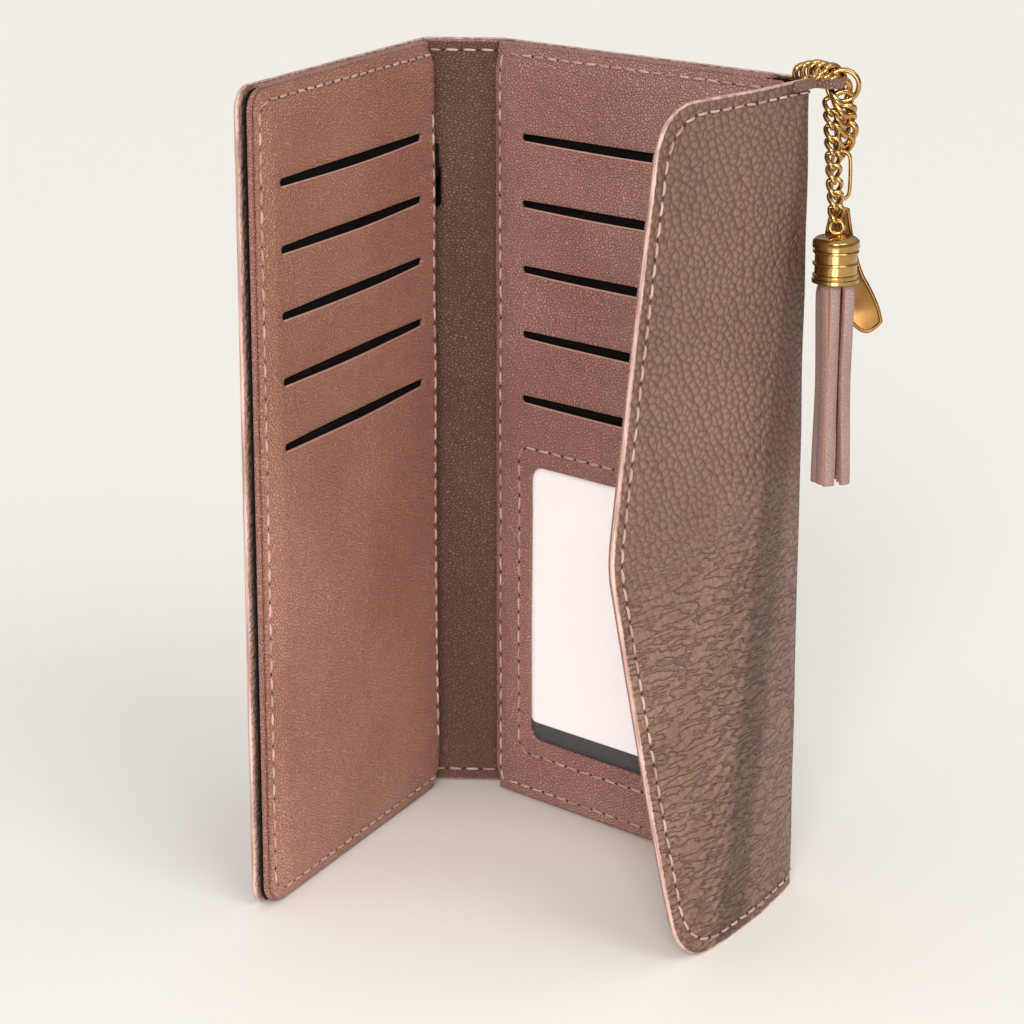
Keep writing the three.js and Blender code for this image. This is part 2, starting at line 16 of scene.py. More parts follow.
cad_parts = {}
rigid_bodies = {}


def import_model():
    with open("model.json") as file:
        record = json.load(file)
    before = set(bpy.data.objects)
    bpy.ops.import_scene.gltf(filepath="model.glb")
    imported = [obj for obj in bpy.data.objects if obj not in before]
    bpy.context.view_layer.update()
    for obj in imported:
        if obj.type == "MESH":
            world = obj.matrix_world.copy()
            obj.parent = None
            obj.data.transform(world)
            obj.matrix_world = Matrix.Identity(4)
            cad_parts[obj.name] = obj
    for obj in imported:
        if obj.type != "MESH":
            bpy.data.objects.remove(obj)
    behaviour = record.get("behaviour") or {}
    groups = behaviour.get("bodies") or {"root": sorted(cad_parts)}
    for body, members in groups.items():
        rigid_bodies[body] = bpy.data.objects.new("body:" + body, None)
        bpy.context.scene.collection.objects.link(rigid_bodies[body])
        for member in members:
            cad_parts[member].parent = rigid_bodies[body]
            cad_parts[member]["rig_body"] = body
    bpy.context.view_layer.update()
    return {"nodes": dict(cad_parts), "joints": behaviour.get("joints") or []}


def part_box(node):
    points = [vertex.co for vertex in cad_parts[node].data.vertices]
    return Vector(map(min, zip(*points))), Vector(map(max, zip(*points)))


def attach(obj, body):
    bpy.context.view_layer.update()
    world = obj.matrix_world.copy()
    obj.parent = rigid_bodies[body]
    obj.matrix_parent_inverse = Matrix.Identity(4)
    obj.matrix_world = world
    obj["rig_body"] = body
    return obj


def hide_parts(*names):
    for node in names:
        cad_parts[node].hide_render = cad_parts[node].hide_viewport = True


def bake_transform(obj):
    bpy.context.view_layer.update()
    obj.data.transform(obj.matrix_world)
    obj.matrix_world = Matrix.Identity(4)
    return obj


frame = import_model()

MM = 0.001
random.seed(11)
scene = bpy.context.scene

# ---------- sizes of the wallet, in millimetres and degrees ----------
HEIGHT = 190.0
COVER, SPINE, BACK, STRIP = 94.0, 18.5, 97.0, 22.0
FLAP_CORNER, FLAP_POINT = 34.0, 53.0
T_FREE = -SPINE - COVER
T_COVER = -SPINE
T_STRIP = BACK
T_FLAP = BACK + STRIP
FOLDS = ((T_COVER, 69.5), (0.0, 41.5), (T_STRIP, 80.0), (T_FLAP, 5.0))
FIRST_HEADING = 111.0
FOLD_RADIUS = 2.6
FOLD_REACH = 5.0
OUTER, INNER = -0.55, 0.55
JOINTS = {j["name"]: j for j in frame["joints"]}
SPINE_AXIS = np.array(JOINTS["spine_fold"]["pos_m"][:2]) / MM

BACK_PANEL = (3.4, 93.8)
COVER_PANEL = (T_FREE + 1.6, T_COVER - 5.4)
PANEL_LOW, PANEL_HIGH = 0.8, 189.2
BACK_FACE, COVER_FACE = 6.1, 5.45
CARD_LEATHER = 0.9
SLOT_HALF = 0.9
BACK_SLOTS = [168.0 - 16 * i for i in range(5)]
COVER_SLOTS = [168.0 - 15 * i for i in range(5)]
BACK_SLOT_SPAN = (BACK_PANEL[0] + 9.7, BACK_PANEL[1] - 9.7)
COVER_SLOT_SPAN = (COVER_PANEL[0] + 8, COVER_PANEL[1] - 8)
WINDOW = (BACK_PANEL[0] + 12.7, BACK_PANEL[1] - 12.7, 17.0, 87.5)
WINDOW_CORNER = 4.0


# ---------- from the unrolled wallet to the row frame ----------
def heading_vector(angle):
    return np.array((math.cos(angle), math.sin(angle)))


def inward(angle):
    return np.array((math.sin(angle), -math.cos(angle)))


HEADINGS = [math.radians(FIRST_HEADING)]
for _, bend in FOLDS:
    HEADINGS.append(HEADINGS[-1] - math.radians(bend))
CORNERS = [None, SPINE_AXIS, None, None]
CORNERS[0] = SPINE_AXIS - heading_vector(HEADINGS[1]) * SPINE
CORNERS[2] = SPINE_AXIS + heading_vector(HEADINGS[2]) * BACK
CORNERS[3] = CORNERS[2] + heading_vector(HEADINGS[3]) * STRIP


def bent(flat):
    """Row-frame points, in metres, of (t, z, depth) points in millimetres."""
    flat = np.asarray(flat, float)
    t, z = flat[:, 0], flat[:, 1]
    depth = flat[:, 2] - flap_lean(t, z)
    out = np.zeros((len(flat), 3))
    out[:, 2] = z
    edges = [-1e9] + [fold for fold, _ in FOLDS] + [1e9]
    for index, heading in enumerate(HEADINGS):
        here = (t >= edges[index]) & (t < edges[index + 1])
        at = max(index - 1, 0)
        along = (t[here] - FOLDS[at][0])[:, None] * heading_vector(heading)
        out[here, :2] = CORNERS[at] + along + depth[here, None] * inward(heading)
    for (fold, bend), corner, before in zip(FOLDS, CORNERS, HEADINGS):
        turn = math.radians(bend)
        tangent = FOLD_RADIUS * math.tan(turn / 2)
        here = np.abs(t - fold) < tangent
        angle = before - (t[here] - fold + tangent) / (2 * tangent) * turn
        centre = corner - heading_vector(before) * tangent + inward(before) * FOLD_RADIUS
        away = np.stack((-np.sin(angle), np.cos(angle)), 1)
        out[here, :2] = centre + away * (FOLD_RADIUS - depth[here])[:, None]
    return out * MM


def flap_lean(t, z):
    """How far the strip and flap stand out from flat: a soft ridge on the diagonal crease."""
    run = t - T_STRIP
    crest = np.clip(5 + 34 * (187 - z) / 163, 4, 40)
    at_crest = 7.0 * np.clip((190 - z) / 166, 0, 1) ** 1.7
    free = 7.4 * np.clip(1 - z / 190, 0, 1) ** 1.6
    rising = at_crest * run / crest
    falling = at_crest + (free - at_crest) * (run - crest) / np.maximum(FLAP_CORNER + STRIP - crest, 8)
    sharpness = 0.45
    return np.where(run > 0, -np.logaddexp(-rising / sharpness, -falling / sharpness) * sharpness
                    + sharpness * math.log(2) * np.exp(-run / 6), 0.0) * smooth(0, 6, run)


def smooth(low, high, value):
    share = np.clip((np.asarray(value, float) - low) / (high - low), 0, 1)
    return share * share * (3 - 2 * share)


# ---------- leather grain ----------
def wobble(t, z, scale, seed):
    """Smooth noise between -1 and 1."""
    total = np.zeros(np.shape(t))
    for index in range(5):
        angle = 2.4 * index + seed
        wave = scale * (0.7 + 0.35 * index)
        total += np.sin((t * math.cos(angle) + z * math.sin(angle)) / wave * 2 * math.pi + 5 * seed + index)
    return total / 3.2


def creased(t, z):
    """Height of the soft wrinkles along the flap's diagonal crease, and how strongly painted shade darkens their folds.
    """
    crest = T_STRIP + np.clip(5 + 34 * (187 - z) / 163, 4, 40)
    across = t - crest - 1.5
    half = 4.0 + 6.0 * smooth(150, 30, z)
    amount = np.exp(-(across / half) ** 2) * smooth(T_STRIP + 1, T_STRIP + 6, t) * (0.25 + 0.75 * smooth(175, 100, z))
    folds = 0.5 + 0.5 * np.sin((0.8 * across + z) * 1.5 + 1.8 * wobble(t, z, 9, 2.2))
    height = 0.12 * wobble(t, z, 17, 0.4) - 0.2 * amount * folds ** 3
    return height, amount * folds ** 2


# ---------- meshes ----------
def new_mesh(name, points, faces, material, flat=None, attributes=None, soft=True):
    mesh = bpy.data.meshes.new(name)
    mesh.from_pydata([tuple(p) for p in points], [], faces)
    mesh.polygons.foreach_set("use_smooth", [soft] * len(mesh.polygons))
    if flat is not None:
        place = mesh.attributes.new("flat", "FLOAT_VECTOR", "POINT")
        place.data.foreach_set("vector", (np.asarray(flat, float) * MM).astype(np.float32).ravel())
    for key, values in (attributes or {}).items():
        layer = mesh.attributes.new(key, "FLOAT", "POINT")
        layer.data.foreach_set("value", np.asarray(values, np.float32))
    mesh.materials.append(material)
    mesh.validate()
    obj = bpy.data.objects.new(name, mesh)
    scene.collection.objects.link(obj)
    return obj


def applied(obj):
    """The object with its modifiers built into its mesh."""
    bpy.context.view_layer.update()
    evaluated = obj.evaluated_get(bpy.context.evaluated_depsgraph_get())
    mesh = bpy.data.meshes.new_from_object(evaluated)
    obj.modifiers.clear()
    obj.data = mesh
    return obj


def mark_sharp(mesh, angle=50):
    mesh.set_sharp_from_angle(angle=math.radians(angle))


def across_fold(obj, before, after, fold):
    """Builds the piece's transform into its mesh."""
    start, end = bent([(fold - FOLD_REACH, HEIGHT, 0), (fold + FOLD_REACH, HEIGHT, 0)])
    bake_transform(obj)
    return obj


def thick_sheet(name, left, right, rows, columns, outer, inner, material, seams, relief=None, coarse=4):
    """A closed sheet with rounded cut edges.  seams says whether its left and right ends are seams."""
    rim = 0.3
    z = rows
    share = np.linspace(0, 1, columns + 1)
    t_left, t_right = left(z), right(z)
    t = t_left[:, None] + (t_right - t_left)[:, None] * share
    zz = np.repeat(z[:, None], columns + 1, 1)
    count_z, count_t = len(z), columns + 1
    index = np.arange(count_z * count_t).reshape(count_z, count_t)
    edge = np.minimum(zz - z[0], z[-1] - zz)
    if not seams[0]:
        edge = np.minimum(edge, t - t_left[:, None])
    if not seams[1]:
        edge = np.minimum(edge, t_right[:, None] - t)
    fade = smooth(0.0, 1.2, edge)
    depth = outer(t, zz)
    wrinkle_shade = np.zeros(t.shape)
    if relief:
        height, wrinkle_shade = relief(t, zz)
        depth = depth - height * fade
    flat = [np.stack((t.ravel(), zz.ravel(), depth.ravel()), 1)]
    faces = [
        (index[j, i + 1], index[j, i], index[j + 1, i], index[j + 1, i + 1])
        for j in range(count_z - 1) for i in range(count_t - 1)
    ]
    loop = [(0, i) for i in range(count_t)] + [(j, count_t - 1) for j in range(1, count_z)]
    loop += [(count_z - 1, i) for i in range(count_t - 2, -1, -1)]
    loop += [(j, 0) for j in range(count_z - 2, 0, -1)]
    line = np.array([(t[j, i], zz[j, i]) for j, i in loop])
    step = np.roll(line, -1, 0) - np.roll(line, 1, 0)
    out = np.stack((step[:, 1], -step[:, 0]), 1)
    out /= np.maximum(np.linalg.norm(out, axis=1), 1e-9)[:, None]
    for n, (j, i) in enumerate(loop):
        on_seam = (i == 0 and seams[0]) or (i == count_t - 1 and seams[1])
        if on_seam:
            end = -1.0 if j == 0 else 1.0 if j == count_z - 1 else 0.0
            out[n] = (0.0, end)
    base = len(flat[0])
    before = [index[j, i] for j, i in loop]
    face_depth = outer(line[:, 0], line[:, 1])
    back_depth = inner(line[:, 0], line[:, 1])
    thick = back_depth - face_depth
    size = len(loop)
    marks = [np.zeros(base)]
    for offset, down in ((0.62, 0.14), (1.0, 0.36), (1.0, 0.64), (0.62, 0.86), (0.0, 1.0)):
        spot = line + out * rim * offset
        flat.append(np.stack((spot[:, 0], spot[:, 1], face_depth + thick * down), 1))
        marks.append(np.full(size, 1.0 if offset > 0 else 0.6))
        ring = list(range(base, base + size))
        for n in range(size):
            m = (n + 1) % size
            faces.append((before[n], before[m], ring[m], ring[n]))
        before = ring
        base += size
    ring_of = {spot: before[n] for n, spot in enumerate(loop)}
    inner_points = []
    for j in range(0, count_z, coarse):
        for i in range(0, count_t, coarse):
            if (j, i) not in ring_of:
                ring_of[(j, i)] = base + len(inner_points)
                inner_points.append((t[j, i], zz[j, i]))
    if inner_points:
        spots = np.array(inner_points)
        flat.append(np.column_stack((spots, inner(spots[:, 0], spots[:, 1]))))
        marks.append(np.zeros(len(spots)))
    for j in range(0, count_z - 1, coarse):
        for i in range(0, count_t - 1, coarse):
            low, high = j, min(j + coarse, count_z - 1)
            near, far = i, min(i + coarse, count_t - 1)
            walk = [(low, c) for c in range(near, far)] + [(r, far) for r in range(low, high)]
            walk += [(high, c) for c in range(far, near, -1)] + [(r, near) for r in range(high, low, -1)]
            faces.append([ring_of[spot] for spot in walk if spot in ring_of])
    flat = np.concatenate(flat)
    total = len(flat)
    full_wrinkle_shade = np.zeros(total)
    full_wrinkle_shade[:wrinkle_shade.size] = wrinkle_shade.ravel()
    edge_paint = np.concatenate(marks)
    band = 1 - smooth(0.0, 0.5, edge.ravel())
    edge_paint[:band.size] = 0.8 * band
    obj = new_mesh(name, bent(flat), faces, material, flat, {
        "wrinkle_shade": full_wrinkle_shade, "edge": edge_paint,
    })
    return obj


def even_rows(spacing, low=0.3, high=HEIGHT - 0.3, coarse=4):
    """Rows of a sheet, close together near the ends where the outlines curve."""
    ends = np.array([0.0, 0.04, 0.12, 0.24, 0.4, 0.62, 0.9, 1.2])
    count = int(round((high - low - 2 * ends[-1]) / spacing / coarse)) * coarse + 2
    middle = np.linspace(low + ends[-1], high - ends[-1], count + 1)
    return np.concatenate((low + ends[:-1], middle, high - ends[:-1][::-1]))


# ---------- node materials ----------
class Shader:
    """A material's node tree, with short ways to add its nodes."""

    def __init__(self, name, colour=(0.5, 0.5, 0.5), roughness=0.5, metallic=0.0, **constants):
        self.material = bpy.data.materials.new(name)
        self.material.use_nodes = True
        self.nodes = self.material.node_tree.nodes
        self.links = self.material.node_tree.links
        self.surface = self.nodes["Principled BSDF"]
        self.surface.inputs["Base Color"].default_value = (*colour, 1)
        self.surface.inputs["Roughness"].default_value = roughness
        self.surface.inputs["Metallic"].default_value = metallic
        for key, value in constants.items():
            self.surface.inputs[key.replace("_", " ")].default_value = value
        self.material.diffuse_color = (*colour, 1)

    def add(self, kind, settings=None, **values):
        node = self.nodes.new(kind)
        for key, value in (settings or {}).items():
            setattr(node, key, value)
        for key, value in values.items():
            self.feed(node.inputs[key.replace("_", " ")], value)
        return node

    def feed(self, socket, value):
        if isinstance(value, bpy.types.NodeSocket):
            self.links.new(value, socket)
        else:
            socket.default_value = value

    def attribute(self, name):
        return self.add("ShaderNodeAttribute", {"attribute_name": name})

    def math(self, operation, first, second=0.0):
        node = self.nodes.new("ShaderNodeMath")
        node.operation = operation
        self.feed(node.inputs[0], first)
        self.feed(node.inputs[1], second)
        return node.outputs[0]

    def span(self, value, low, high, start=0.0, end=1.0):
        node = self.add("ShaderNodeMapRange", {"interpolation_type": "SMOOTHSTEP"})
        for socket, item in zip(node.inputs, (value, low, high, start, end)):
            self.feed(socket, item)
        return node.outputs[0]

    def mix(self, share, first, second, blend="MIX"):
        node = self.add("ShaderNodeMix", {"data_type": "RGBA", "blend_type": blend})
        self.feed(node.inputs[0], share)
        self.feed(node.inputs[6], first if not isinstance(first, tuple) else (*first, 1))
        self.feed(node.inputs[7], second if not isinstance(second, tuple) else (*second, 1))
        return node.outputs[2]

    def noise(self, where, scale, detail=3.0, roughness=0.55):
        return self.add("ShaderNodeTexNoise", Vector=where, Scale=scale, Detail=detail,
                        Roughness=roughness).outputs["Fac"]

    def stretched(self, where, scale, turn=0.0):
        return self.add("ShaderNodeMapping", Vector=where, Scale=scale,
                        Rotation=(0, 0, turn)).outputs[0]

    def bump(self, height, distance, strength=1.0, normal=None):
        node = self.add("ShaderNodeBump", Height=height, Distance=distance, Strength=strength)
        if normal is not None:
            self.feed(node.inputs["Normal"], normal)
        return node.outputs[0]

    def paint(self, **sockets):
        for key, value in sockets.items():
            self.feed(self.surface.inputs[key.replace("_", " ")], value)


def linear(red, green, blue):
    """Scene-linear colour of an 8-bit display colour."""
    def one(value):
        value = value / 255
        return value / 12.92 if value <= 0.04045 else ((value + 0.055) / 1.055) ** 2.4
    return (one(red), one(green), one(blue))


def pebbled_leather():
    s = Shader("pebbled_leather", linear(120, 92, 80), 0.46, Specular_IOR_Level=0.5)
    where = s.attribute("flat").outputs["Vector"]
    wrinkle_shade = s.attribute("wrinkle_shade").outputs["Fac"]
    edge = s.attribute("edge").outputs["Fac"]
    drift = s.add("ShaderNodeTexNoise", Vector=where, Scale=230.0, Detail=1.0).outputs["Color"]
    shift = s.add("ShaderNodeVectorMath", {"operation": "MULTIPLY_ADD"})
    s.feed(shift.inputs[0], drift)
    s.feed(shift.inputs[1], (0.0011, 0.0011, 0.0))
    s.feed(shift.inputs[2], where)
    lattice = s.stretched(shift.outputs[0], (430.0, 600.0, 1.0), 0.38)
    border = s.add("ShaderNodeTexVoronoi", {"feature": "DISTANCE_TO_EDGE", "voronoi_dimensions": "2D"},
                   Vector=lattice, Scale=1.0, Randomness=0.72).outputs["Distance"]
    cell = s.add("ShaderNodeTexVoronoi", {"voronoi_dimensions": "2D"}, Vector=lattice, Scale=1.0,
                 Randomness=0.72)
    round_cell = s.add("ShaderNodeTexVoronoi", {"feature": "SMOOTH_F1", "voronoi_dimensions": "2D"},
                       Vector=lattice, Scale=1.0, Smoothness=0.38, Randomness=0.72).outputs["Distance"]
    dome = s.math("MULTIPLY", s.math("POWER", round_cell, 1.7), -1.5)
    pebble = s.math("ADD", s.math("MULTIPLY", s.span(border, 0.0, 0.26), 0.2), dome)
    heights = s.add("ShaderNodeSeparateXYZ", Vector=where).outputs["Y"]
    lower = s.span(s.math("ADD", heights, s.math("MULTIPLY", s.noise(where, 30.0, 3.0), 0.04)),
                   0.095, 0.135, 1.0, 0.0)
    slanted = s.add("ShaderNodeTexNoise", Vector=s.stretched(shift.outputs[0], (120.0, 480.0, 1.0), -0.42),
                    Scale=1.0, Detail=2.0).outputs["Fac"]
    ridge = s.span(s.math("ABSOLUTE", s.math("SUBTRACT", slanted, 0.5)), 0.0, 0.055)
    crease = s.math("MULTIPLY", s.math("SUBTRACT", 1.0, ridge), lower)
    patches = s.noise(where, 26.0, 3.0)
    tone = s.add("ShaderNodeSeparateColor", Color=cell.outputs["Color"]).outputs[0]
    colour = s.mix(s.span(patches, 0.3, 0.7), FLAP_LOW, FLAP_HIGH)
    colour = s.mix(s.math("MULTIPLY", tone, 0.25), colour, FLAP_LIGHT)
    # Painted shade in the crevices between the pebbles, a little weaker in the lower part.
    gap = s.math("SUBTRACT", 1.0, s.span(border, 0.0, 0.2))
    faint = s.math("SUBTRACT", 0.2, s.math("MULTIPLY", lower, 0.1))
    colour = s.mix(s.math("MULTIPLY", gap, faint), colour, FLAP_DARK)
    # Painted shade along the slanted crease lines in the lower part.
    colour = s.mix(s.math("MULTIPLY", crease, 0.24), colour, FLAP_DARK)
    # Painted shade: a dark band just behind the diagonal crease, on the side towards the strip's fold, where the
    # leather turns away from the light.
    across = s.add("ShaderNodeSeparateXYZ", Vector=where).outputs["X"]
    crest = s.math("ADD", 0.102, s.math("MULTIPLY", s.math("SUBTRACT", 0.187, heights), 0.2086))
    behind = s.math("SUBTRACT", crest, across)
    painted_crease_shade = s.math("MULTIPLY", s.span(behind, 0.0, 0.004), s.span(behind, 0.011, 0.019, 1.0, 0.0))
    painted_crease_shade = s.math("MULTIPLY", painted_crease_shade, s.span(across, 0.094, 0.099, 0.0, 0.62))
    colour = s.mix(painted_crease_shade, colour, linear(74, 48, 38))
    # Painted shade: the outer leather grows darker towards its top.
    colour = s.mix(s.span(heights, 0.06, 0.19, 0.0, 0.24), colour, linear(74, 48, 38))
    # Painted shade in the folds of the wrinkles along the diagonal crease.
    colour = s.mix(s.math("MULTIPLY", wrinkle_shade, 0.5), colour, FLAP_DARK)
    band = s.add("ShaderNodeTexNoise", Vector=s.stretched(where, (500, 60, 2600)), Scale=1.0, Detail=3.0)
    paint = s.mix(s.span(band.outputs["Fac"], 0.35, 0.65), linear(168, 132, 122), linear(214, 180, 170))
    colour = s.mix(s.span(edge, 0.3, 0.75), colour, paint)
    rough = s.math("ADD", s.math("MULTIPLY", gap, 0.2), s.span(s.noise(where, 900.0, 4.0), 0.3, 0.7, 0.36, 0.48))
    calm = s.math("SUBTRACT", 1.0, s.math("MULTIPLY", lower, 0.55))
    height = s.math("SUBTRACT", s.math("MULTIPLY", pebble, calm), s.math("MULTIPLY", crease, 0.7))
    height = s.math("MULTIPLY", height, s.math("SUBTRACT", 1.0, edge))
    normal = s.bump(height, 0.00075, 1.0)
    normal = s.bump(s.noise(where, 1700.0, 4.0), 0.00008, 0.45, normal)
    s.paint(Base_Color=colour, Roughness=rough, Normal=normal)
    return s.material


def smooth_leather(name, low, high, sheen=0.0, unrolled=True, grainy=1.0):
    s = Shader(name, low, 0.45, Specular_IOR_Level=0.5, Sheen_Weight=sheen, Sheen_Roughness=0.5)
    where = (s.attribute("flat").outputs["Vector"] if unrolled
             else s.add("ShaderNodeTexCoord").outputs["Object"])
    edge = s.attribute("edge").outputs["Fac"]
    patches = s.noise(where, 22.0, 4.0)
    colour = s.mix(s.span(patches, 0.3, 0.72), low, high)
    grain = s.add("ShaderNodeTexVoronoi", {"feature": "DISTANCE_TO_EDGE"},
                  Vector=s.stretched(where, (1.0, 1.35, 1.0), 0.5), Scale=1050.0)
    pores = s.span(grain.outputs["Distance"], 0.0, 0.24)
    colour = s.mix(s.span(pores, 0.0, 1.0, 0.26, 0.0), colour, linear(88, 52, 44))
    colour = s.mix(s.span(edge, 0.3, 0.75), colour, linear(158, 114, 104))
    wrinkles = s.add("ShaderNodeTexWave", Vector=s.stretched(where, (1.0, 1.0, 1.0), 0.9),
                     Scale=160.0, Distortion=14.0, Detail=4.0, Detail_Scale=2.2)
    lines = s.span(wrinkles.outputs["Fac"], 0.0, 0.35)
    broad = s.noise(where, 75.0, 3.0)
    normal = s.bump(broad, 0.0012, 0.5)
    normal = s.bump(lines, 0.00005 * grainy, 0.3, normal)
    normal = s.bump(pores, 0.0003 * grainy, 1.0, normal)
    rough = s.span(s.noise(where, 420.0, 3.0), 0.3, 0.7, 0.38, 0.52)
    s.paint(Base_Color=colour, Roughness=rough, Normal=normal)
    return s.material


def fabric(name, colour, light):
    s = Shader(name, colour, 0.85, Specular_IOR_Level=0.2)
    where = s.add("ShaderNodeTexCoord").outputs["Object"]
    warp = s.add("ShaderNodeTexWave", {"bands_direction": "Z"}, Vector=where, Scale=700.0, Distortion=0.6)
    weft = s.add("ShaderNodeTexWave", {"bands_direction": "DIAGONAL"}, Vector=where, Scale=500.0,
                 Distortion=0.6)
    weave = s.math("MAXIMUM", warp.outputs["Fac"], weft.outputs["Fac"])
    s.paint(Base_Color=s.mix(weave, colour, light), Normal=s.bump(weave, 0.00012, 0.6))
    return s.material


def thread():
    s = Shader("thread", linear(196, 160, 146), 0.6, Sheen_Weight=0.25)
    where = s.attribute("flat").outputs["Vector"]
    tone = s.attribute("tone").outputs["Fac"]
    twist = s.add("ShaderNodeTexWave", {"bands_direction": "DIAGONAL"}, Vector=where, Scale=1400.0)
    colour = s.mix(tone, linear(170, 128, 114), linear(214, 182, 168))
    colour = s.mix(s.math("MULTIPLY", twist.outputs["Fac"], 0.35), colour, linear(120, 84, 74))
    s.paint(Base_Color=colour, Normal=s.bump(twist.outputs["Fac"], 0.00008, 0.6))
    return s.material


def metal(name, colour, dark, roughness):
    s = Shader(name, colour, roughness, 1.0)
    where = s.add("ShaderNodeTexCoord").outputs["Object"]
    smudge = s.noise(where, 220.0, 3.0)
    scratch = s.noise(s.stretched(where, (1.0, 1.0, 9.0)), 900.0, 3.0)
    s.paint(
        Base_Color=s.mix(s.span(smudge, 0.4, 0.75, 0.0, 0.45), colour, dark),
        Roughness=s.span(smudge, 0.3, 0.7, roughness * 0.75, roughness * 1.35),
        Normal=s.bump(scratch, 0.00003, 0.35),
    )
    return s.material


def plain_board(name, low, high, roughness, glow=0.0):
    s = Shader(name, low, roughness, Emission_Color=(*high, 1.0), Emission_Strength=glow)
    where = s.add("ShaderNodeTexCoord").outputs["Object"]
    fibres = s.noise(where, 600.0, 4.0)
    s.paint(Base_Color=s.mix(fibres, low, high), Normal=s.bump(fibres, 0.00005, 0.3))
    return s.material


def clear_film():
    s = Shader("clear_film", (0.97, 0.97, 0.98), 0.06, Alpha=0.05, Specular_IOR_Level=0.5)
    where = s.add("ShaderNodeTexCoord").outputs["Object"]
    ripple = s.noise(where, 34.0, 2.0)
    s.paint(Normal=s.bump(ripple, 0.0012, 0.4),
            Roughness=s.span(s.noise(where, 300.0, 3.0), 0.3, 0.8, 0.05, 0.16))
    return s.material


FLAP_LOW, FLAP_HIGH = linear(122, 90, 75), linear(140, 107, 91)
# FLAP_DARK is the colour of the painted shade in the pebbles' crevices, the crease lines and the wrinkles' folds.
FLAP_LIGHT, FLAP_DARK = linear(146, 112, 95), linear(62, 39, 30)
OUTER_LEATHER = pebbled_leather()
COVER_LEATHER = smooth_leather("card_leather_cover", linear(178, 122, 103), linear(196, 140, 120))
BACK_LEATHER = smooth_leather("card_leather_back", linear(170, 122, 113), linear(188, 141, 132))
# The lining's dark brown is partly its own colour and partly painted shade for the gutter between the cover and the
# back.
LINING = smooth_leather("lining_leather", linear(98, 64, 54), linear(116, 81, 70), 0.1)
TASSEL_LEATHER = smooth_leather("tassel_leather", linear(142, 116, 110), linear(164, 138, 132), 0.1,
                                grainy=0.22)
TAB_LEATHER = smooth_leather("tab_leather", linear(120, 86, 74), linear(138, 102, 88), 0.1, False)
# The black fabric is nearly pure black: its own black, made darker still as painted shade inside the card slots.
BLACK_FABRIC = fabric("black_fabric", (0.0025, 0.002, 0.002), (0.006, 0.005, 0.005))
THREAD = thread()
# The needle holes' dark brown is painted shade: each hole is a dark mark sitting on the leather, not an opening.
HOLE = plain_board("needle_hole", linear(46, 28, 24), linear(70, 46, 40), 0.8)
GOLD = metal("gold", (0.54, 0.33, 0.12), (0.22, 0.12, 0.035), 0.13)
BRONZE = metal("bronze", (0.34, 0.18, 0.06), (0.15, 0.065, 0.02), 0.22)
BLACK_METAL = metal("black_metal", (0.03, 0.03, 0.03), (0.012, 0.012, 0.012), 0.3)
STEEL = metal("steel", (0.5, 0.5, 0.5), (0.3, 0.3, 0.3), 0.35)
BOARD = plain_board("board", linear(140, 128, 112), linear(160, 148, 132), 0.9)
# The paper glows a little, as painted light, so the insert card reads brighter.
PAPER = plain_board("paper", linear(253, 252, 251), linear(255, 255, 255), 0.6, 0.12)
FILM = clear_film()


# ---------- outlines of the sheets ----------
def constant(value):
    return lambda *at: np.full(np.shape(at[0]), float(value))


def rounded_inset(z, low, high, radius):
    """How far a rounded corner draws an edge in at height z."""
    below = np.clip(low + radius - z, 0, radius)
    above = np.clip(z - high + radius, 0, radius)
    drop = np.maximum(below, above)
    return radius - np.sqrt(np.maximum(radius ** 2 - drop ** 2, 0))


def bezier(a, b, c, count=24):
    share = np.linspace(0, 1, count)[:, None]
    return (1 - share) ** 2 * a + 2 * share * (1 - share) * b + share ** 2 * c


def flap_outline(inset):
    """Heights and unrolled places of the flap's free edge, from its bottom to its top."""
    low = [np.array((T_FLAP - 2, inset)), np.array((T_FLAP + FLAP_CORNER - inset, inset)),
           np.array((T_FLAP + FLAP_POINT - inset, HEIGHT / 2))]
    def toward(a, b, distance):
        return a + (b - a) / np.linalg.norm(b - a) * distance
    corner = bezier(toward(low[1], low[0], 12), low[1], toward(low[1], low[2], 12))
    mirror = low[2] + (low[1] - low[2]) * np.array((1, -1))
    point = bezier(toward(low[2], low[1], 5), low[2], toward(low[2], mirror, 5))
    half = np.concatenate((corner, point[:12]))
    upper = half[::-1] * np.array((1, -1)) + np.array((0, HEIGHT))
    line = np.concatenate((half, upper))
    return line[:, 1], line[:, 0]


def flap_edge(inset):
    heights, places = flap_outline(inset)
    return lambda z: np.interp(z, heights, places)


def cover_edge(inset):
    return lambda z: T_FREE + inset + rounded_inset(z, inset, HEIGHT - inset, 5.0)


# ---------- outer leather ----------
SPINE_SEAM, BACK_SEAM, STRIP_SEAM = -SPINE / 2, BACK / 2, T_STRIP + STRIP / 2
rows = even_rows(0.95)
leather = {
    "leather_cover": (cover_edge(0.3), constant(SPINE_SEAM), 108, (False, True),
                      ("cover", "spine", T_COVER), ("cover_leather",)),
    "leather_spine": (constant(SPINE_SEAM), constant(BACK_SEAM), 60, (True, True),
                      ("spine", "back", 0.0), ("spine_leather",)),
    "leather_back": (constant(BACK_SEAM), constant(STRIP_SEAM), 64, (True, True),
                     ("back", "strip", T_STRIP), ("back_leather",)),
    "leather_flap": (constant(STRIP_SEAM), flap_edge(0.3), 88, (True, False),
                     ("strip", "flap", T_FLAP), ("strip_leather", "flap_leather")),
}
for name, (left, right, columns, seams, fold, nodes) in leather.items():
    piece = thick_sheet(name, left, right, rows, columns, constant(OUTER), constant(INNER),
                        OUTER_LEATHER, seams, creased)
    mark_sharp(piece.data, 60)
    across_fold(piece, *fold)
    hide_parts(*nodes)

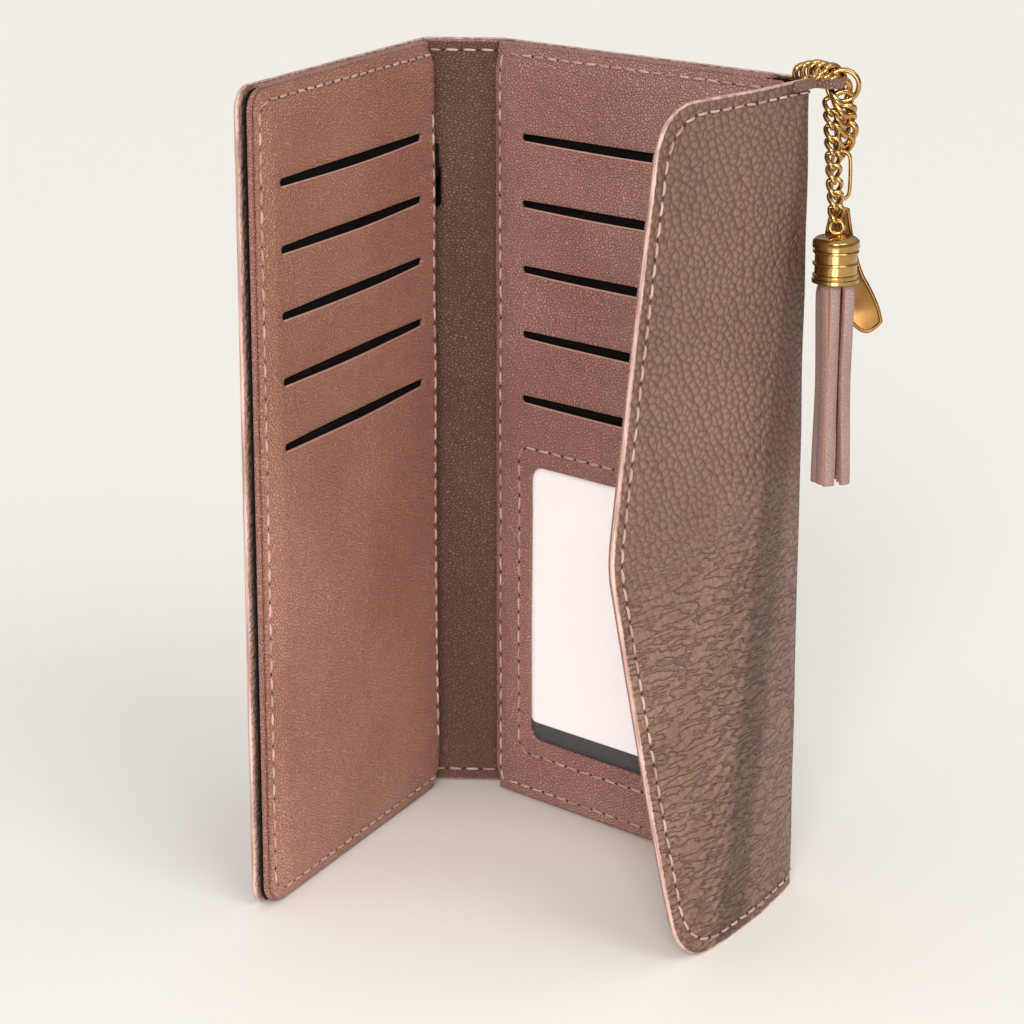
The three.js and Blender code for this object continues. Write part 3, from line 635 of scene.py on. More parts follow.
# ---------- the flap's hidden magnet, between its leather and its lining ----------
MAGNET_T, MAGNET_RADIUS = T_FLAP + 38, 7.0
magnet_points, magnet_faces = [], []
for layer in (0.8, 1.2):
    magnet_points += [(MAGNET_T + r * math.cos(a), HEIGHT / 2 + r * math.sin(a), layer)
                      for r in (MAGNET_RADIUS, 3.5) for a in np.arange(24) * math.pi / 12]
    magnet_points.append((MAGNET_T, HEIGHT / 2, layer))
for k in range(24):
    n = (k + 1) % 24
    magnet_faces += [(k, k + 24, n + 24, n), (k + 24, 48, n + 24),
                     (49 + k, 49 + n, 73 + n, 73 + k), (73 + k, 73 + n, 97), (k, n, 49 + n, 49 + k)]
magnet = new_mesh("magnet_disc", bent(magnet_points), magnet_faces, STEEL, soft=False)
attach(magnet, "flap")
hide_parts("flap_magnet")

# ---------- linings that cross the folds ----------
def gutter_depth(offset):
    return lambda t, z: np.full(np.shape(t), 0.8 + offset)


def flap_lining_depth(offset):
    """The flap's lining steps over the magnet, and comes down to the leather at the free edge."""
    edge_at = flap_edge(0.4)
    def depth(t, z):
        free = np.minimum(edge_at(z) - t, np.minimum(z, HEIGHT - z))
        rise = 0.65 * smooth(T_FLAP - 4, T_FLAP + 4, t)
        return 0.8 + offset + rise - (0.2 + rise) * (1 - smooth(0.3, 5.0, free))
    return depth


lining_rows = even_rows(1.4, 0.7, HEIGHT - 0.7)
linings = {
    "lining_cover": (constant(T_COVER - 4.6), constant(SPINE_SEAM), 20, (False, True), gutter_depth,
                     ("cover", "spine", T_COVER), ()),
    "lining_spine": (constant(SPINE_SEAM), constant(2.9), 20, (True, False), gutter_depth,
                     ("spine", "back", 0.0), ("spine_lining",)),
    "lining_back": (constant(T_STRIP - 2.3), constant(STRIP_SEAM), 20, (False, True), flap_lining_depth,
                    ("back", "strip", T_STRIP), ("strip_lining",)),
    "lining_flap": (constant(STRIP_SEAM), flap_edge(0.7), 52, (True, False), flap_lining_depth,
                    ("strip", "flap", T_FLAP), ("flap_lining",)),
}
for name, (left, right, columns, seams, depth, fold, nodes) in linings.items():
    piece = thick_sheet(name, left, right, lining_rows, columns, depth(0.6), depth(0.0),
                        LINING, seams, None)
    piece.data.flip_normals()
    mark_sharp(piece.data, 60)
    across_fold(piece, *fold)
    if nodes:
        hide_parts(*nodes)

# ---------- card panels with their slots and window ----------
def resampled(points, spacing):
    """The closed line through the points, with points no further apart than the spacing."""
    out = []
    for a, b in zip(points, points[1:] + points[:1]):
        count = max(1, int(math.ceil(math.dist(a, b) / spacing)))
        out += [(a[0] + (b[0] - a[0]) * n / count, a[1] + (b[1] - a[1]) * n / count) for n in range(count)]
    return out


def rounded_loop(t0, t1, z0, z1, radius, spacing=1.0):
    points = []
    for ct, cz, start in ((t1 - radius, z0 + radius, -90), (t1 - radius, z1 - radius, 0),
                          (t0 + radius, z1 - radius, 90), (t0 + radius, z0 + radius, 180)):
        for step in range(7):
            angle = math.radians(start + step * 15)
            points.append((ct + radius * math.cos(angle), cz + radius * math.sin(angle)))
    return resampled(points, spacing)


SLOT_BOW = 0.35


def slot_drop(t, span):
    """How far a slot's lower lip hangs open at t."""
    middle, half = (span[0] + span[1]) / 2, (span[1] - span[0]) / 2
    return SLOT_BOW * np.clip(1 - ((t - middle) / half) ** 2, 0, 1)


def slot_loop(span, z, grow=0.0):
    radius = SLOT_HALF + grow
    t0, t1 = span[0] + SLOT_HALF, span[1] - SLOT_HALF
    points = [(t, z - radius - float(slot_drop(t, span))) for t in np.linspace(t0, t1, 60)]
    points += [(t1 + radius * math.cos(a), z + radius * math.sin(a))
               for a in np.linspace(-math.pi / 2, math.pi / 2, 9)[1:-1]]
    points += [(t, z + radius) for t in np.linspace(t1, t0, 60)]
    points += [(t0 + radius * math.cos(a), z + radius * math.sin(a))
               for a in np.linspace(math.pi / 2, 1.5 * math.pi, 9)[1:-1]]
    return points


def inside(loop, points):
    """Which points lie inside the closed loop."""
    a = np.asarray(loop)
    b = np.roll(a, -1, 0)
    t, z = points[:, 0][:, None], points[:, 1][:, None]
    crosses = (a[:, 1] > z) != (b[:, 1] > z)
    rise = np.where(b[:, 1] == a[:, 1], 1e-9, b[:, 1] - a[:, 1])
    at = a[:, 0] + (z - a[:, 1]) * (b[:, 0] - a[:, 0]) / rise
    return (crosses & (t < at)).sum(1) % 2 == 1


def cut_sheet(name, outline, holes, face, thickness, material, spacing=1.6):
    """A closed sheet with cut-outs.  face gives the depth of its visible face at (t, z)."""
    rim = 0.2
    loops = [outline] + holes
    line = np.concatenate([np.asarray(loop) for loop in loops])
    edges = []
    start = 0
    for loop in loops:
        edges += [(start + n, start + (n + 1) % len(loop)) for n in range(len(loop))]
        start += len(loop)
    low, high = line.min(0), line.max(0)
    grid_t, grid_z = np.meshgrid(np.arange(low[0], high[0], spacing), np.arange(low[1], high[1], spacing))
    grid_t = grid_t + (np.arange(len(grid_t)) % 2)[:, None] * spacing / 2
    inner = np.stack((grid_t.ravel(), grid_z.ravel()), 1)
    keep = inside(outline, inner)
    for hole in holes:
        keep &= ~inside(hole, inner)
    inner = inner[keep]
    clear = np.array([np.min(np.sum((line - spot) ** 2, 1)) for spot in inner]) > (0.55 * spacing) ** 2
    every = [Vector(spot) for spot in np.concatenate((line, inner[clear]))]
    points, _, faces, _, _, _ = delaunay_2d_cdt(every, edges, [], 0, 1e-6)
    points = np.array([tuple(spot) for spot in points])
    faces = [list(face_) for face_ in faces]
    middles = np.array([points[f].mean(0) for f in faces])
    keep = inside(outline, middles)
    for hole in holes:
        keep &= ~inside(hole, middles)
    faces = [f for f, kept in zip(faces, keep) if kept]
    for f in faces:
        a, b, c = points[f]
        if (b[0] - a[0]) * (c[1] - a[1]) - (b[1] - a[1]) * (c[0] - a[0]) < 0:
            f.reverse()
    sides = {}
    for f in faces:
        for a, b in zip(f, f[1:] + f[:1]):
            sides[(a, b)] = True
    border = [(a, b) for a, b in sides if (b, a) not in sides]
    out = np.zeros(points.shape)
    for a, b in border:
        step = points[b] - points[a]
        normal = np.array((step[1], -step[0])) / max(np.linalg.norm(step), 1e-9)
        out[a] += normal
        out[b] += normal
    out /= np.maximum(np.linalg.norm(out, axis=1), 1e-9)[:, None]
    count = len(points)
    depth = face(points[:, 0], points[:, 1])
    flat = [np.column_stack((points, depth))]
    edge = [np.zeros(count)]
    rim_points = sorted({a for a, _ in border})
    ring = {spot: n for n, spot in enumerate(rim_points)}
    rim_out = out[rim_points]
    all_faces = [f[::-1] for f in faces]
    above = {spot: spot for spot in rim_points}
    base = count
    for offset, down in ((0.7, 0.3 * rim), (1.0, rim), (1.0, thickness - rim), (0.0, thickness)):
        spots = points[rim_points] + rim_out * rim * offset
        flat.append(np.column_stack((spots, depth[rim_points] - down)))
        edge.append(np.full(len(spots), 1.0 if down < thickness else 0.3))
        for a, b in border:
            all_faces.append((above[a], above[b], base + ring[b], base + ring[a]))
        above = {spot: base + ring[spot] for spot in rim_points}
        base += len(rim_points)
    inner_ids = {}
    extra = []
    for spot in range(count):
        if spot in ring:
            inner_ids[spot] = above[spot]
        else:
            inner_ids[spot] = base + len(extra)
            extra.append((*points[spot], depth[spot] - thickness))
    flat.append(np.array(extra))
    edge.append(np.zeros(len(extra)))
    all_faces += [[inner_ids[spot] for spot in f] for f in faces]
    flat = np.concatenate(flat)
    obj = new_mesh(name, bent(flat), all_faces, material, flat, {"edge": np.concatenate(edge)})
    mark_sharp(obj.data, 60)
    return obj


def slot_swell(t, z, slots, span):
    """A card pocket's leather stands off a little under each slot."""
    total = np.zeros(np.shape(t))
    share = slot_drop(t, span) / SLOT_BOW
    for slot in slots:
        below = slot - SLOT_HALF - z
        total += np.where(below > -0.6, 0.5 * np.exp(-(below / 4.5) ** 2), 0) * share
        total -= np.where(below < -0.6, 0.25 * np.exp(-((below + 1.8) / 3.5) ** 2), 0) * share
    return total


def cover_face(t, z):
    edge = np.minimum(t - COVER_PANEL[0], np.minimum(z - PANEL_LOW, PANEL_HIGH - z))
    pressed = 1.3 * (1 - smooth(0, 6.5, edge))
    zip_side = 0.25 * (1 - smooth(0, 1.5, COVER_PANEL[1] - t))
    return (COVER_FACE + 0.18 * wobble(t, z, 42, 0.7) * smooth(3, 12, edge) - pressed - zip_side
            + slot_swell(t, z, COVER_SLOTS, COVER_SLOT_SPAN))


def back_face(t, z):
    edge = np.minimum(z - PANEL_LOW, PANEL_HIGH - z)
    pressed = 1.25 * (1 - smooth(0, 6.5, edge))
    left = 0.8 * (1 - smooth(0, 5.0, t - BACK_PANEL[0]))
    frame_groove = np.zeros(np.shape(t))
    return (BACK_FACE + 0.16 * wobble(t, z, 40, 2.7) * smooth(3, 12, edge) - pressed - left - frame_groove
            + slot_swell(t, z, BACK_SLOTS, BACK_SLOT_SPAN))


def coin_wall_face(t, z):
    return np.full(np.shape(t), 3.05)


RIM = 0.2
cover_outline = rounded_loop(COVER_PANEL[0] + RIM, COVER_PANEL[1] - RIM, PANEL_LOW + RIM, PANEL_HIGH - RIM, 4.5)
cover_panel = cut_sheet("cover_cards", cover_outline,
                        [slot_loop(COVER_SLOT_SPAN, z, RIM) for z in COVER_SLOTS],
                        cover_face, CARD_LEATHER, COVER_LEATHER)
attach(cover_panel, "cover")
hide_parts("cover_card_panel")

back_outline = rounded_loop(BACK_PANEL[0] + RIM, BACK_PANEL[1] - RIM, PANEL_LOW + RIM, PANEL_HIGH - RIM, 1.5)
window_loop = rounded_loop(WINDOW[0] - RIM, WINDOW[1] + RIM, WINDOW[2] - RIM, WINDOW[3] + RIM, WINDOW_CORNER)
back_panel = cut_sheet("back_cards", back_outline,
                       [slot_loop(BACK_SLOT_SPAN, z, RIM) for z in BACK_SLOTS] + [window_loop],
                       back_face, CARD_LEATHER, BACK_LEATHER)
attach(back_panel, "back")
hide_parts("back_card_panel")

coin_outline = rounded_loop(T_FREE + 0.8 + RIM, T_COVER - 5.4 - RIM, PANEL_LOW + RIM, PANEL_HIGH - RIM, 4.5, 2.0)
coin_wall = cut_sheet("coin_wall", coin_outline, [], coin_wall_face, CARD_LEATHER, COVER_LEATHER, 5.0)
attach(coin_wall, "cover")
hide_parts("coin_pocket_wall")


def binding(name, span, low, high, near, far, material, body):
    """Pressed leather between the layers of a sewn end."""
    t = np.linspace(span[0], span[1], 60)
    profile = [(low, near), (low, far), (high - 0.25, far), (high, far - 0.25), (high, near + 0.25),
               (high - 0.25, near)]
    count = len(profile)
    flat = [(place, z, depth) for place in t for z, depth in profile]
    faces = [(i * count + k, i * count + (k + 1) % count, (i + 1) * count + (k + 1) % count, (i + 1) * count + k)
             for i in range(len(t) - 1) for k in range(count)]
    faces += [list(range(count))[::-1], [(len(t) - 1) * count + k for k in range(count)]]
    piece = new_mesh(name, bent(flat), faces, material, flat, {"edge": np.full(len(flat), 0.5)})
    mark_sharp(piece.data, 30)
    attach(piece, body)


for end, low, high, short in (("top", 188.0, 189.6, 6.0), ("foot", 0.4, 2.0, 0.3)):
    binding(f"back_binding_{end}", (BACK_PANEL[0] + 0.3, BACK_PANEL[1] - short), low, high, 0.5, 4.3,
            BACK_LEATHER, "back")
    binding(f"cover_binding_{end}", (COVER_PANEL[0] + 4.5, COVER_PANEL[1] - 0.3), low, high, 0.5, 3.6,
            COVER_LEATHER, "cover")


# ---------- thin rolled lips, stitches and needle holes ----------
def tube(path, radius, sides=6):
    """Points and faces of a closed tube along (t, z, depth) points."""
    path = np.asarray(path, float)
    step = np.gradient(path, axis=0)
    step /= np.maximum(np.linalg.norm(step, axis=1), 1e-9)[:, None]
    across = np.cross(step, (0, 0, 1.0))
    across /= np.maximum(np.linalg.norm(across, axis=1), 1e-9)[:, None]
    up = np.cross(across, step)
    angles = np.arange(sides) * 2 * math.pi / sides
    count = len(path)
    size = np.full(count, radius)
    size[0] = size[-1] = radius * 0.3
    rings = (path[:, None] + size[:, None, None] * (across[:, None] * np.cos(angles)[:, None]
                                                    + up[:, None] * np.sin(angles)[:, None]))
    faces = []
    for i in range(count - 1):
        for k in range(sides):
            n = (k + 1) % sides
            faces.append((i * sides + k, i * sides + n, (i + 1) * sides + n, (i + 1) * sides + k))
    faces.append(list(range(sides))[::-1])
    faces.append([(count - 1) * sides + k for k in range(sides)])
    return rings.reshape(-1, 3), faces


class Heap:
    """Many small closed shapes that become one mesh."""

    def __init__(self):
        self.points, self.faces, self.tone, self.total = [], [], [], 0

    def add(self, points, faces, tone=0.5):
        self.points.append(points)
        self.faces += [[spot + self.total for spot in face] for face in faces]
        self.tone.append(np.full(len(points), tone))
        self.total += len(points)

    def mesh(self, name, material):
        flat = np.concatenate(self.points)
        return new_mesh(name, bent(flat), self.faces, material, flat, {"tone": np.concatenate(self.tone)})


def slot_lips(name, slots, span, face, body):
    heap = Heap()
    for slot in slots:
        t = np.linspace(span[0] + 0.5, span[1] - 0.5, 64)
        fall = np.sqrt(np.clip(1 - (np.clip(np.minimum(t - span[0], span[1] - t), 0, SLOT_HALF)
                                    / SLOT_HALF - 1) ** 2, 0, 1))
        z = slot - SLOT_HALF * fall - slot_drop(t, span) - 0.08
        heap.add(*tube(np.column_stack((t, z, face(t, z - 0.3) - 0.12)), 0.24))
    lips = heap.mesh(name, LIP)
    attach(lips, body)


LIP = plain_board("slot_lip", linear(178, 132, 120), linear(204, 158, 146), 0.5)
slot_lips("cover_slot_lips", COVER_SLOTS, COVER_SLOT_SPAN, cover_face, "cover")
slot_lips("back_slot_lips", BACK_SLOTS, BACK_SLOT_SPAN, back_face, "back")

PITCH, STITCH, THICK = 4.3, 3.1, 0.3


def capsule(length, radius, sides=6):
    """A thread of a stitch along x, whose ends dip into the leather."""
    places = np.array((-0.5, -0.44, -0.25, 0.0, 0.25, 0.44, 0.5)) * length
    sizes = np.array((0.25, 0.75, 1.0, 1.04, 1.0, 0.75, 0.25)) * radius
    dip = -0.5 * radius * (2 * places / length) ** 4 * 1.6
    angles = np.arange(sides) * 2 * math.pi / sides
    points = [(x, r * math.cos(a), d + r * math.sin(a)) for x, r, d in zip(places, sizes, dip) for a in angles]
    count = len(places)
    faces = [(i * sides + k, i * sides + (k + 1) % sides, (i + 1) * sides + (k + 1) % sides,
              (i + 1) * sides + k) for i in range(count - 1) for k in range(sides)]
    faces.append(list(range(sides))[::-1])
    faces.append([(count - 1) * sides + k for k in range(sides)])
    return np.array(points), faces


# A small dark mark that stands for a needle hole; its darkness is painted shade.
def needle_hole(radius=0.42, sides=8):
    angles = np.arange(sides) * 2 * math.pi / sides
    points = [(radius * math.cos(a), radius * 0.8 * math.sin(a), 0.0) for a in angles]
    points += [(0, 0, 0.07), (0, 0, -0.2)]
    faces = [(k, (k + 1) % sides, sides) for k in range(sides)]
    faces += [((k + 1) % sides, k, sides + 1) for k in range(sides)]
    return np.array(points), faces


def sew(threads, holes, line, face, side, pitch=PITCH, length=STITCH, keep=None):
    """Stitches along a (t, z) line on a face.  side is 1 on faces that look into the wallet."""
    line = np.asarray(line, float)
    run = np.concatenate(([0], np.cumsum(np.linalg.norm(np.diff(line, axis=0), axis=1))))
    count = max(1, int(round(run[-1] / pitch)))
    shape, faces = capsule(length, THICK)
    hole, hole_faces = needle_hole()
    for n in range(count):
        at = (n + 0.5) * run[-1] / count
        spots = []
        for place in (at - 0.2, at, at + 0.2, at + pitch / 2):
            spots.append(np.array((np.interp(place, run, line[:, 0]), np.interp(place, run, line[:, 1]))))
        if keep and not keep(spots[1][0]):
            continue
        along = spots[2] - spots[0]
        along /= max(np.linalg.norm(along), 1e-9)
        tilt = math.radians(random.uniform(-5, 5))
        along = np.array((along[0] * math.cos(tilt) - along[1] * math.sin(tilt),
                          along[0] * math.sin(tilt) + along[1] * math.cos(tilt)))
        across = np.array((-along[1], along[0]))
        stretch = random.uniform(0.93, 1.05)
        for heap, local, local_faces, spot, lift in ((threads, shape * (stretch, 1, 1), faces, spots[1], 0.1),
                                                     (holes, hole, hole_faces, spots[3], 0.02)):
            flat_spots = spot + local[:, :1] * along + local[:, 1:2] * across
            depth = face(flat_spots[:, 0], flat_spots[:, 1]) + side * (local[:, 2] + lift)
            points = np.column_stack((flat_spots, depth))
            turned = local_faces if side > 0 else [f[::-1] for f in local_faces]
            heap.add(points, [f[::-1] for f in turned], random.random())


def seam(name, lines, body=None, fold=None):
    """One mesh of thread and one of needle holes for (line, face, side) rows of stitches."""
    threads, holes = Heap(), Heap()
    for line, face, side, *rest in lines:
        sew(threads, holes, line, face, side, keep=rest[0] if rest else None)
    for heap, material, kind in ((threads, THREAD, "thread"), (holes, HOLE, "needle_holes")):
        piece = heap.mesh(f"{name}_{kind}", material)
        if fold:
            across_fold(piece, *fold)
        else:
            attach(piece, body)


def outer_face(t, z):
    return np.full(np.shape(t), OUTER - 0.12)


def lining_face(t, z):
    return np.full(np.shape(t), 1.4)


flap_lining_face = flap_lining_depth(0.6)
TOP_LINE, LOW_LINE, SIDE_LINE = HEIGHT - 3.3, 3.4, 2.9
free_line = T_FREE + SIDE_LINE

seam("cover_cards", [
    ([(COVER_PANEL[1] - 0.2, TOP_LINE), (free_line + 3.5, TOP_LINE), (free_line + 1, TOP_LINE - 1),
      (free_line, TOP_LINE - 3.5), (free_line, LOW_LINE + 3.5), (free_line + 1, LOW_LINE + 1),
      (free_line + 3.5, LOW_LINE), (COVER_PANEL[1] - 0.2, LOW_LINE)], cover_face, 1),
    ([(COVER_PANEL[1] - 1.7, 14), (COVER_PANEL[1] - 1.7, 173)], cover_face, 1),
], "cover")
back_right = BACK_PANEL[1] - 2.2
seam("back_cards", [
    ([(BACK_PANEL[0] + 1.9, 2), (BACK_PANEL[0] + 1.9, HEIGHT - 2.5)], back_face, 1),
    ([(BACK_PANEL[0] + 4, TOP_LINE + 0.6), (back_right, TOP_LINE + 0.6)], back_face, 1),
    ([(BACK_PANEL[0] + 4, LOW_LINE), (back_right, LOW_LINE)], back_face, 1),
    ([(back_right, LOW_LINE + 3), (back_right, TOP_LINE - 3)], back_face, 1),
    (rounded_loop(WINDOW[0] - 3.8, WINDOW[1] + 3.8, WINDOW[2] - 4.2, WINDOW[3] + 4.4, 3.5), back_face, 1),
], "back")
gutter_lines = ([(T_COVER - 4, TOP_LINE + 0.4), (3.2, TOP_LINE + 0.4)], [(T_COVER - 4, LOW_LINE), (3.2, LOW_LINE)])
outer_lines = [[(free_line, 8), (free_line, HEIGHT - 8)], [(T_FREE + 5, TOP_LINE), (T_STRIP, TOP_LINE)],
               [(T_FREE + 5, LOW_LINE), (T_STRIP, LOW_LINE)]]
flap_heights, flap_places = flap_outline(2.9)
flap_line = [(t, z) for z, t in zip(flap_heights, flap_places)]
flap_run = [(T_STRIP + 1.5, 2.9)] + flap_line + [(T_STRIP + 1.5, HEIGHT - 2.9)]

seam("cover_side", [(line, lining_face, 1, lambda t: t < SPINE_SEAM) for line in gutter_lines]
     + [(line, outer_face, -1, lambda t: t < SPINE_SEAM) for line in outer_lines],
     fold=("cover", "spine", T_COVER))
seam("spine_side", [(line, lining_face, 1, lambda t: t >= SPINE_SEAM) for line in gutter_lines]
     + [(line, outer_face, -1, lambda t: SPINE_SEAM <= t < BACK_SEAM) for line in outer_lines[1:]],
     fold=("spine", "back", 0.0))
seam("strip_side", [(line, outer_face, -1, lambda t: BACK_SEAM <= t < T_STRIP) for line in outer_lines[1:]]
     + [(flap_run, outer_face, -1, lambda t: t < STRIP_SEAM), (flap_run, flap_lining_face, 1,
                                                              lambda t: t < STRIP_SEAM)],
     fold=("back", "strip", T_STRIP))
seam("flap_side", [(flap_run, outer_face, -1, lambda t: t >= STRIP_SEAM),
                   (flap_run, flap_lining_face, 1, lambda t: t >= STRIP_SEAM)],
     fold=("strip", "flap", T_FLAP))

# a loose end of thread beside the window
loose = Heap()
for lean, reach in ((-1.2, 5.5), (1.4, 3.2)):
    share = np.linspace(0, 1, 14)
    spots = np.column_stack((WINDOW[0] - 3.8 + lean * share + 0.7 * np.sin(share * 5), 66 + reach * share,
                             np.zeros(14)))
    spots[:, 2] = back_face(spots[:, 0], spots[:, 1]) + 0.15 + 1.1 * share
    loose.add(*tube(spots, 0.13, 5))
loose_thread = loose.mesh("loose_thread", THREAD)
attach(loose_thread, "back")


# ---------- charm: it hangs in a plane of its own ----------
CHARM_HEADING = math.radians(-134.8)
leaf_x, leaf_out = heading_vector(CHARM_HEADING), -inward(CHARM_HEADING)


def quads_again(mesh):
    import bmesh
    work = bmesh.new()
    work.from_mesh(mesh)
    bmesh.ops.remove_doubles(work, verts=work.verts, dist=2e-6)
    bmesh.ops.join_triangles(work, faces=work.faces, angle_face_threshold=0.9, angle_shape_threshold=0.9)
    bmesh.ops.recalc_face_normals(work, faces=work.faces)
    work.to_mesh(mesh)
    work.free()


def fatten(mesh, amount):
    count = len(mesh.vertices)
    spots, normals = np.zeros(count * 3, np.float32), np.zeros(count * 3, np.float32)
    mesh.vertices.foreach_get("co", spots)
    mesh.vertex_normals.foreach_get("vector", normals)
    mesh.vertices.foreach_set("co", spots + normals * amount * MM)
    mesh.update()


def rounder(node_name, material, levels=2, fuller=0.1):
    """The CAD node's shape with its facets smoothed away."""
    node = frame["nodes"][node_name]
    mesh = node.data.copy()
    quads_again(mesh)
    piece = bpy.data.objects.new("fine_" + node_name, mesh)
    scene.collection.objects.link(piece)
    mesh.materials.clear()
    mesh.materials.append(material)
    subdivision = piece.modifiers.new("round", "SUBSURF")
    subdivision.levels = levels
    applied(piece)
    piece.data.polygons.foreach_set("use_smooth", [True] * len(piece.data.polygons))
    fatten(piece.data, fuller)
    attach(piece, node["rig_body"])
    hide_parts(node_name)
    return piece


def soft_tab():
    """The tab as a narrower strap with rounded edges."""
    node = frame["nodes"]["charm_tab"]
    mesh = node.data.copy()
    quads_again(mesh)
    piece = bpy.data.objects.new("soft_tab", mesh)
    scene.collection.objects.link(piece)
    mesh.materials.clear()
    mesh.materials.append(TAB_LEATHER)
    middle = sum(v.co.z for v in mesh.vertices) / len(mesh.vertices)
    for v in mesh.vertices:
        v.co.z = middle + (v.co.z - middle) * 0.55
    bevel = piece.modifiers.new("rounded", "BEVEL")
    bevel.width, bevel.segments, bevel.angle_limit = 0.35 * MM, 3, math.radians(40)
    applied(piece)
    mark_sharp(piece.data, 40)
    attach(piece, node["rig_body"])
    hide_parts("charm_tab")


soft_tab()
for node_name in ("charm_small_ring", "leaf_oval_ring", "leaf_jump_ring", "tassel_eye"):
    rounder(node_name, GOLD, fuller=0.0 if node_name.startswith("leaf") else 0.14)


def curb_chain(name, path, count, body, nodes, long=6.0, wide=4.5, wire=0.6):
    """Twisted oval links along a row-frame path in millimetres."""
    path = np.asarray(path, float)
    run = np.concatenate(([0], np.cumsum(np.linalg.norm(np.diff(path, axis=0), axis=1))))
    at = lambda d: np.array([np.interp(d, run, path[:, k]) for k in range(3)])
    angles = np.linspace(0, 2 * math.pi, 28, endpoint=False)
    sides = 10
    around = np.linspace(0, 2 * math.pi, sides, endpoint=False)
    points, faces = [], []
    for n in range(count):
        place = (n + 0.5) * run[-1] / count
        ahead = at(place + 1.2) - at(place - 1.2)
        ahead /= np.linalg.norm(ahead)
        side = np.cross(ahead, np.array((leaf_out[0], leaf_out[1], 0.0)))
        side /= np.linalg.norm(side)
        face_ = np.cross(side, ahead)
        roll = math.radians(38 if n % 2 else 24)
        side, face_ = (side * math.cos(roll) + face_ * math.sin(roll),
                       face_ * math.cos(roll) - side * math.sin(roll))
        a, b = long / 2 - wire, wide / 2 - wire
        line = np.stack([at(place) + ahead * a * math.cos(v) + side * b * math.sin(v)
                         + face_ * 0.85 * math.sin(2 * v) for v in angles])
        step = np.roll(line, -1, 0) - np.roll(line, 1, 0)
        step /= np.linalg.norm(step, axis=1)[:, None]
        out = line - at(place)
        out -= step * np.sum(out * step, 1)[:, None]
        out /= np.linalg.norm(out, axis=1)[:, None]
        up = np.cross(step, out)
        rings = line[:, None] + wire * (out[:, None] * np.cos(around)[:, None] + up[:, None] * np.sin(around)[:, None])
        start, total = len(points), len(angles)
        points += list(rings.reshape(-1, 3))
        faces += [(start + i * sides + k, start + i * sides + (k + 1) % sides,
                   start + (i + 1) % total * sides + (k + 1) % sides, start + (i + 1) % total * sides + k)
                  for i in range(total) for k in range(sides)]
    piece = new_mesh(name, np.array(points) * MM, faces, GOLD)
    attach(piece, body)
    if nodes:
        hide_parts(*nodes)
    return piece


def centre_of(node_name):
    low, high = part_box(node_name)
    return (low + high) / 2 / MM, low / MM, high / MM


def turned_profile(name, middle, profile, segments, material, body, nodes):
    """A closed solid of revolution about a vertical line.  The profile holds (radius, height) pairs."""
    points, faces = [], []
    angles = np.arange(segments) * 2 * math.pi / segments
    rows_ = []
    for radius, height in profile:
        if radius < 1e-6:
            rows_.append([len(points)])
            points.append((middle[0], middle[1], height))
        else:
            rows_.append(list(range(len(points), len(points) + segments)))
            points += [(middle[0] + radius * math.cos(a), middle[1] + radius * math.sin(a), height)
                       for a in angles]
    for low, high in zip(rows_, rows_[1:]):
        for k in range(segments):
            n = (k + 1) % segments
            corner = [low[k % len(low)], low[n % len(low)], high[n % len(high)], high[k % len(high)]]
            faces.append(list(dict.fromkeys(corner)))
    piece = new_mesh(name, np.array(points) * MM, faces, material)
    mark_sharp(piece.data, 40)
    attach(piece, body)
    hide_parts(*nodes)
    return piece


small = centre_of("charm_small_ring")[0]
oval, _, oval_high = centre_of("leaf_oval_ring")
eye, _, eye_high = centre_of("tassel_eye")
small, oval, eye = (np.array(spot) for spot in (small, oval, eye))
picture_right = np.array((-leaf_x[0], -leaf_x[1], 0.0))
hang = small - (0, 0, 1.5)
curb_chain("heavy_chain", [hang - picture_right * 0.7 + (0, 0, 1.5), hang + picture_right * 0.6 - (0, 0, 4),
                           (oval[0] + 0.7, oval[1] + 0.7, oval_high[2] + 4.5), (oval[0], oval[1], oval_high[2] - 0.8)],
           6, "chain", ("charm_large_ring", "leaf_chain_link_1", "leaf_chain_link_2"), 7.0, 5.8, 0.72)
curb_chain("light_chain", [hang - picture_right * 2.6 - (0, 0, 1.5), eye - picture_right * 0.9 + (0, 0, 12),
                           (eye[0], eye[1], eye_high[2] - 0.5)],
           9, "chain", tuple(f"tassel_chain_link_{n}" for n in range(1, 7)), 5.0, 4.0, 0.58)
fold_spot = np.array((*CORNERS[2], HEIGHT))
curb_chain("corner_chain", [fold_spot + (-1.5, -1.0, 0.6), fold_spot + (0.6, 0.8, 1.4), fold_spot + (3.2, 1.9, 1.0),
                            small - picture_right * 1.3 + (0, 0, 2.2)],
           5, "strip", (), 6.2, 5.4, 0.7)

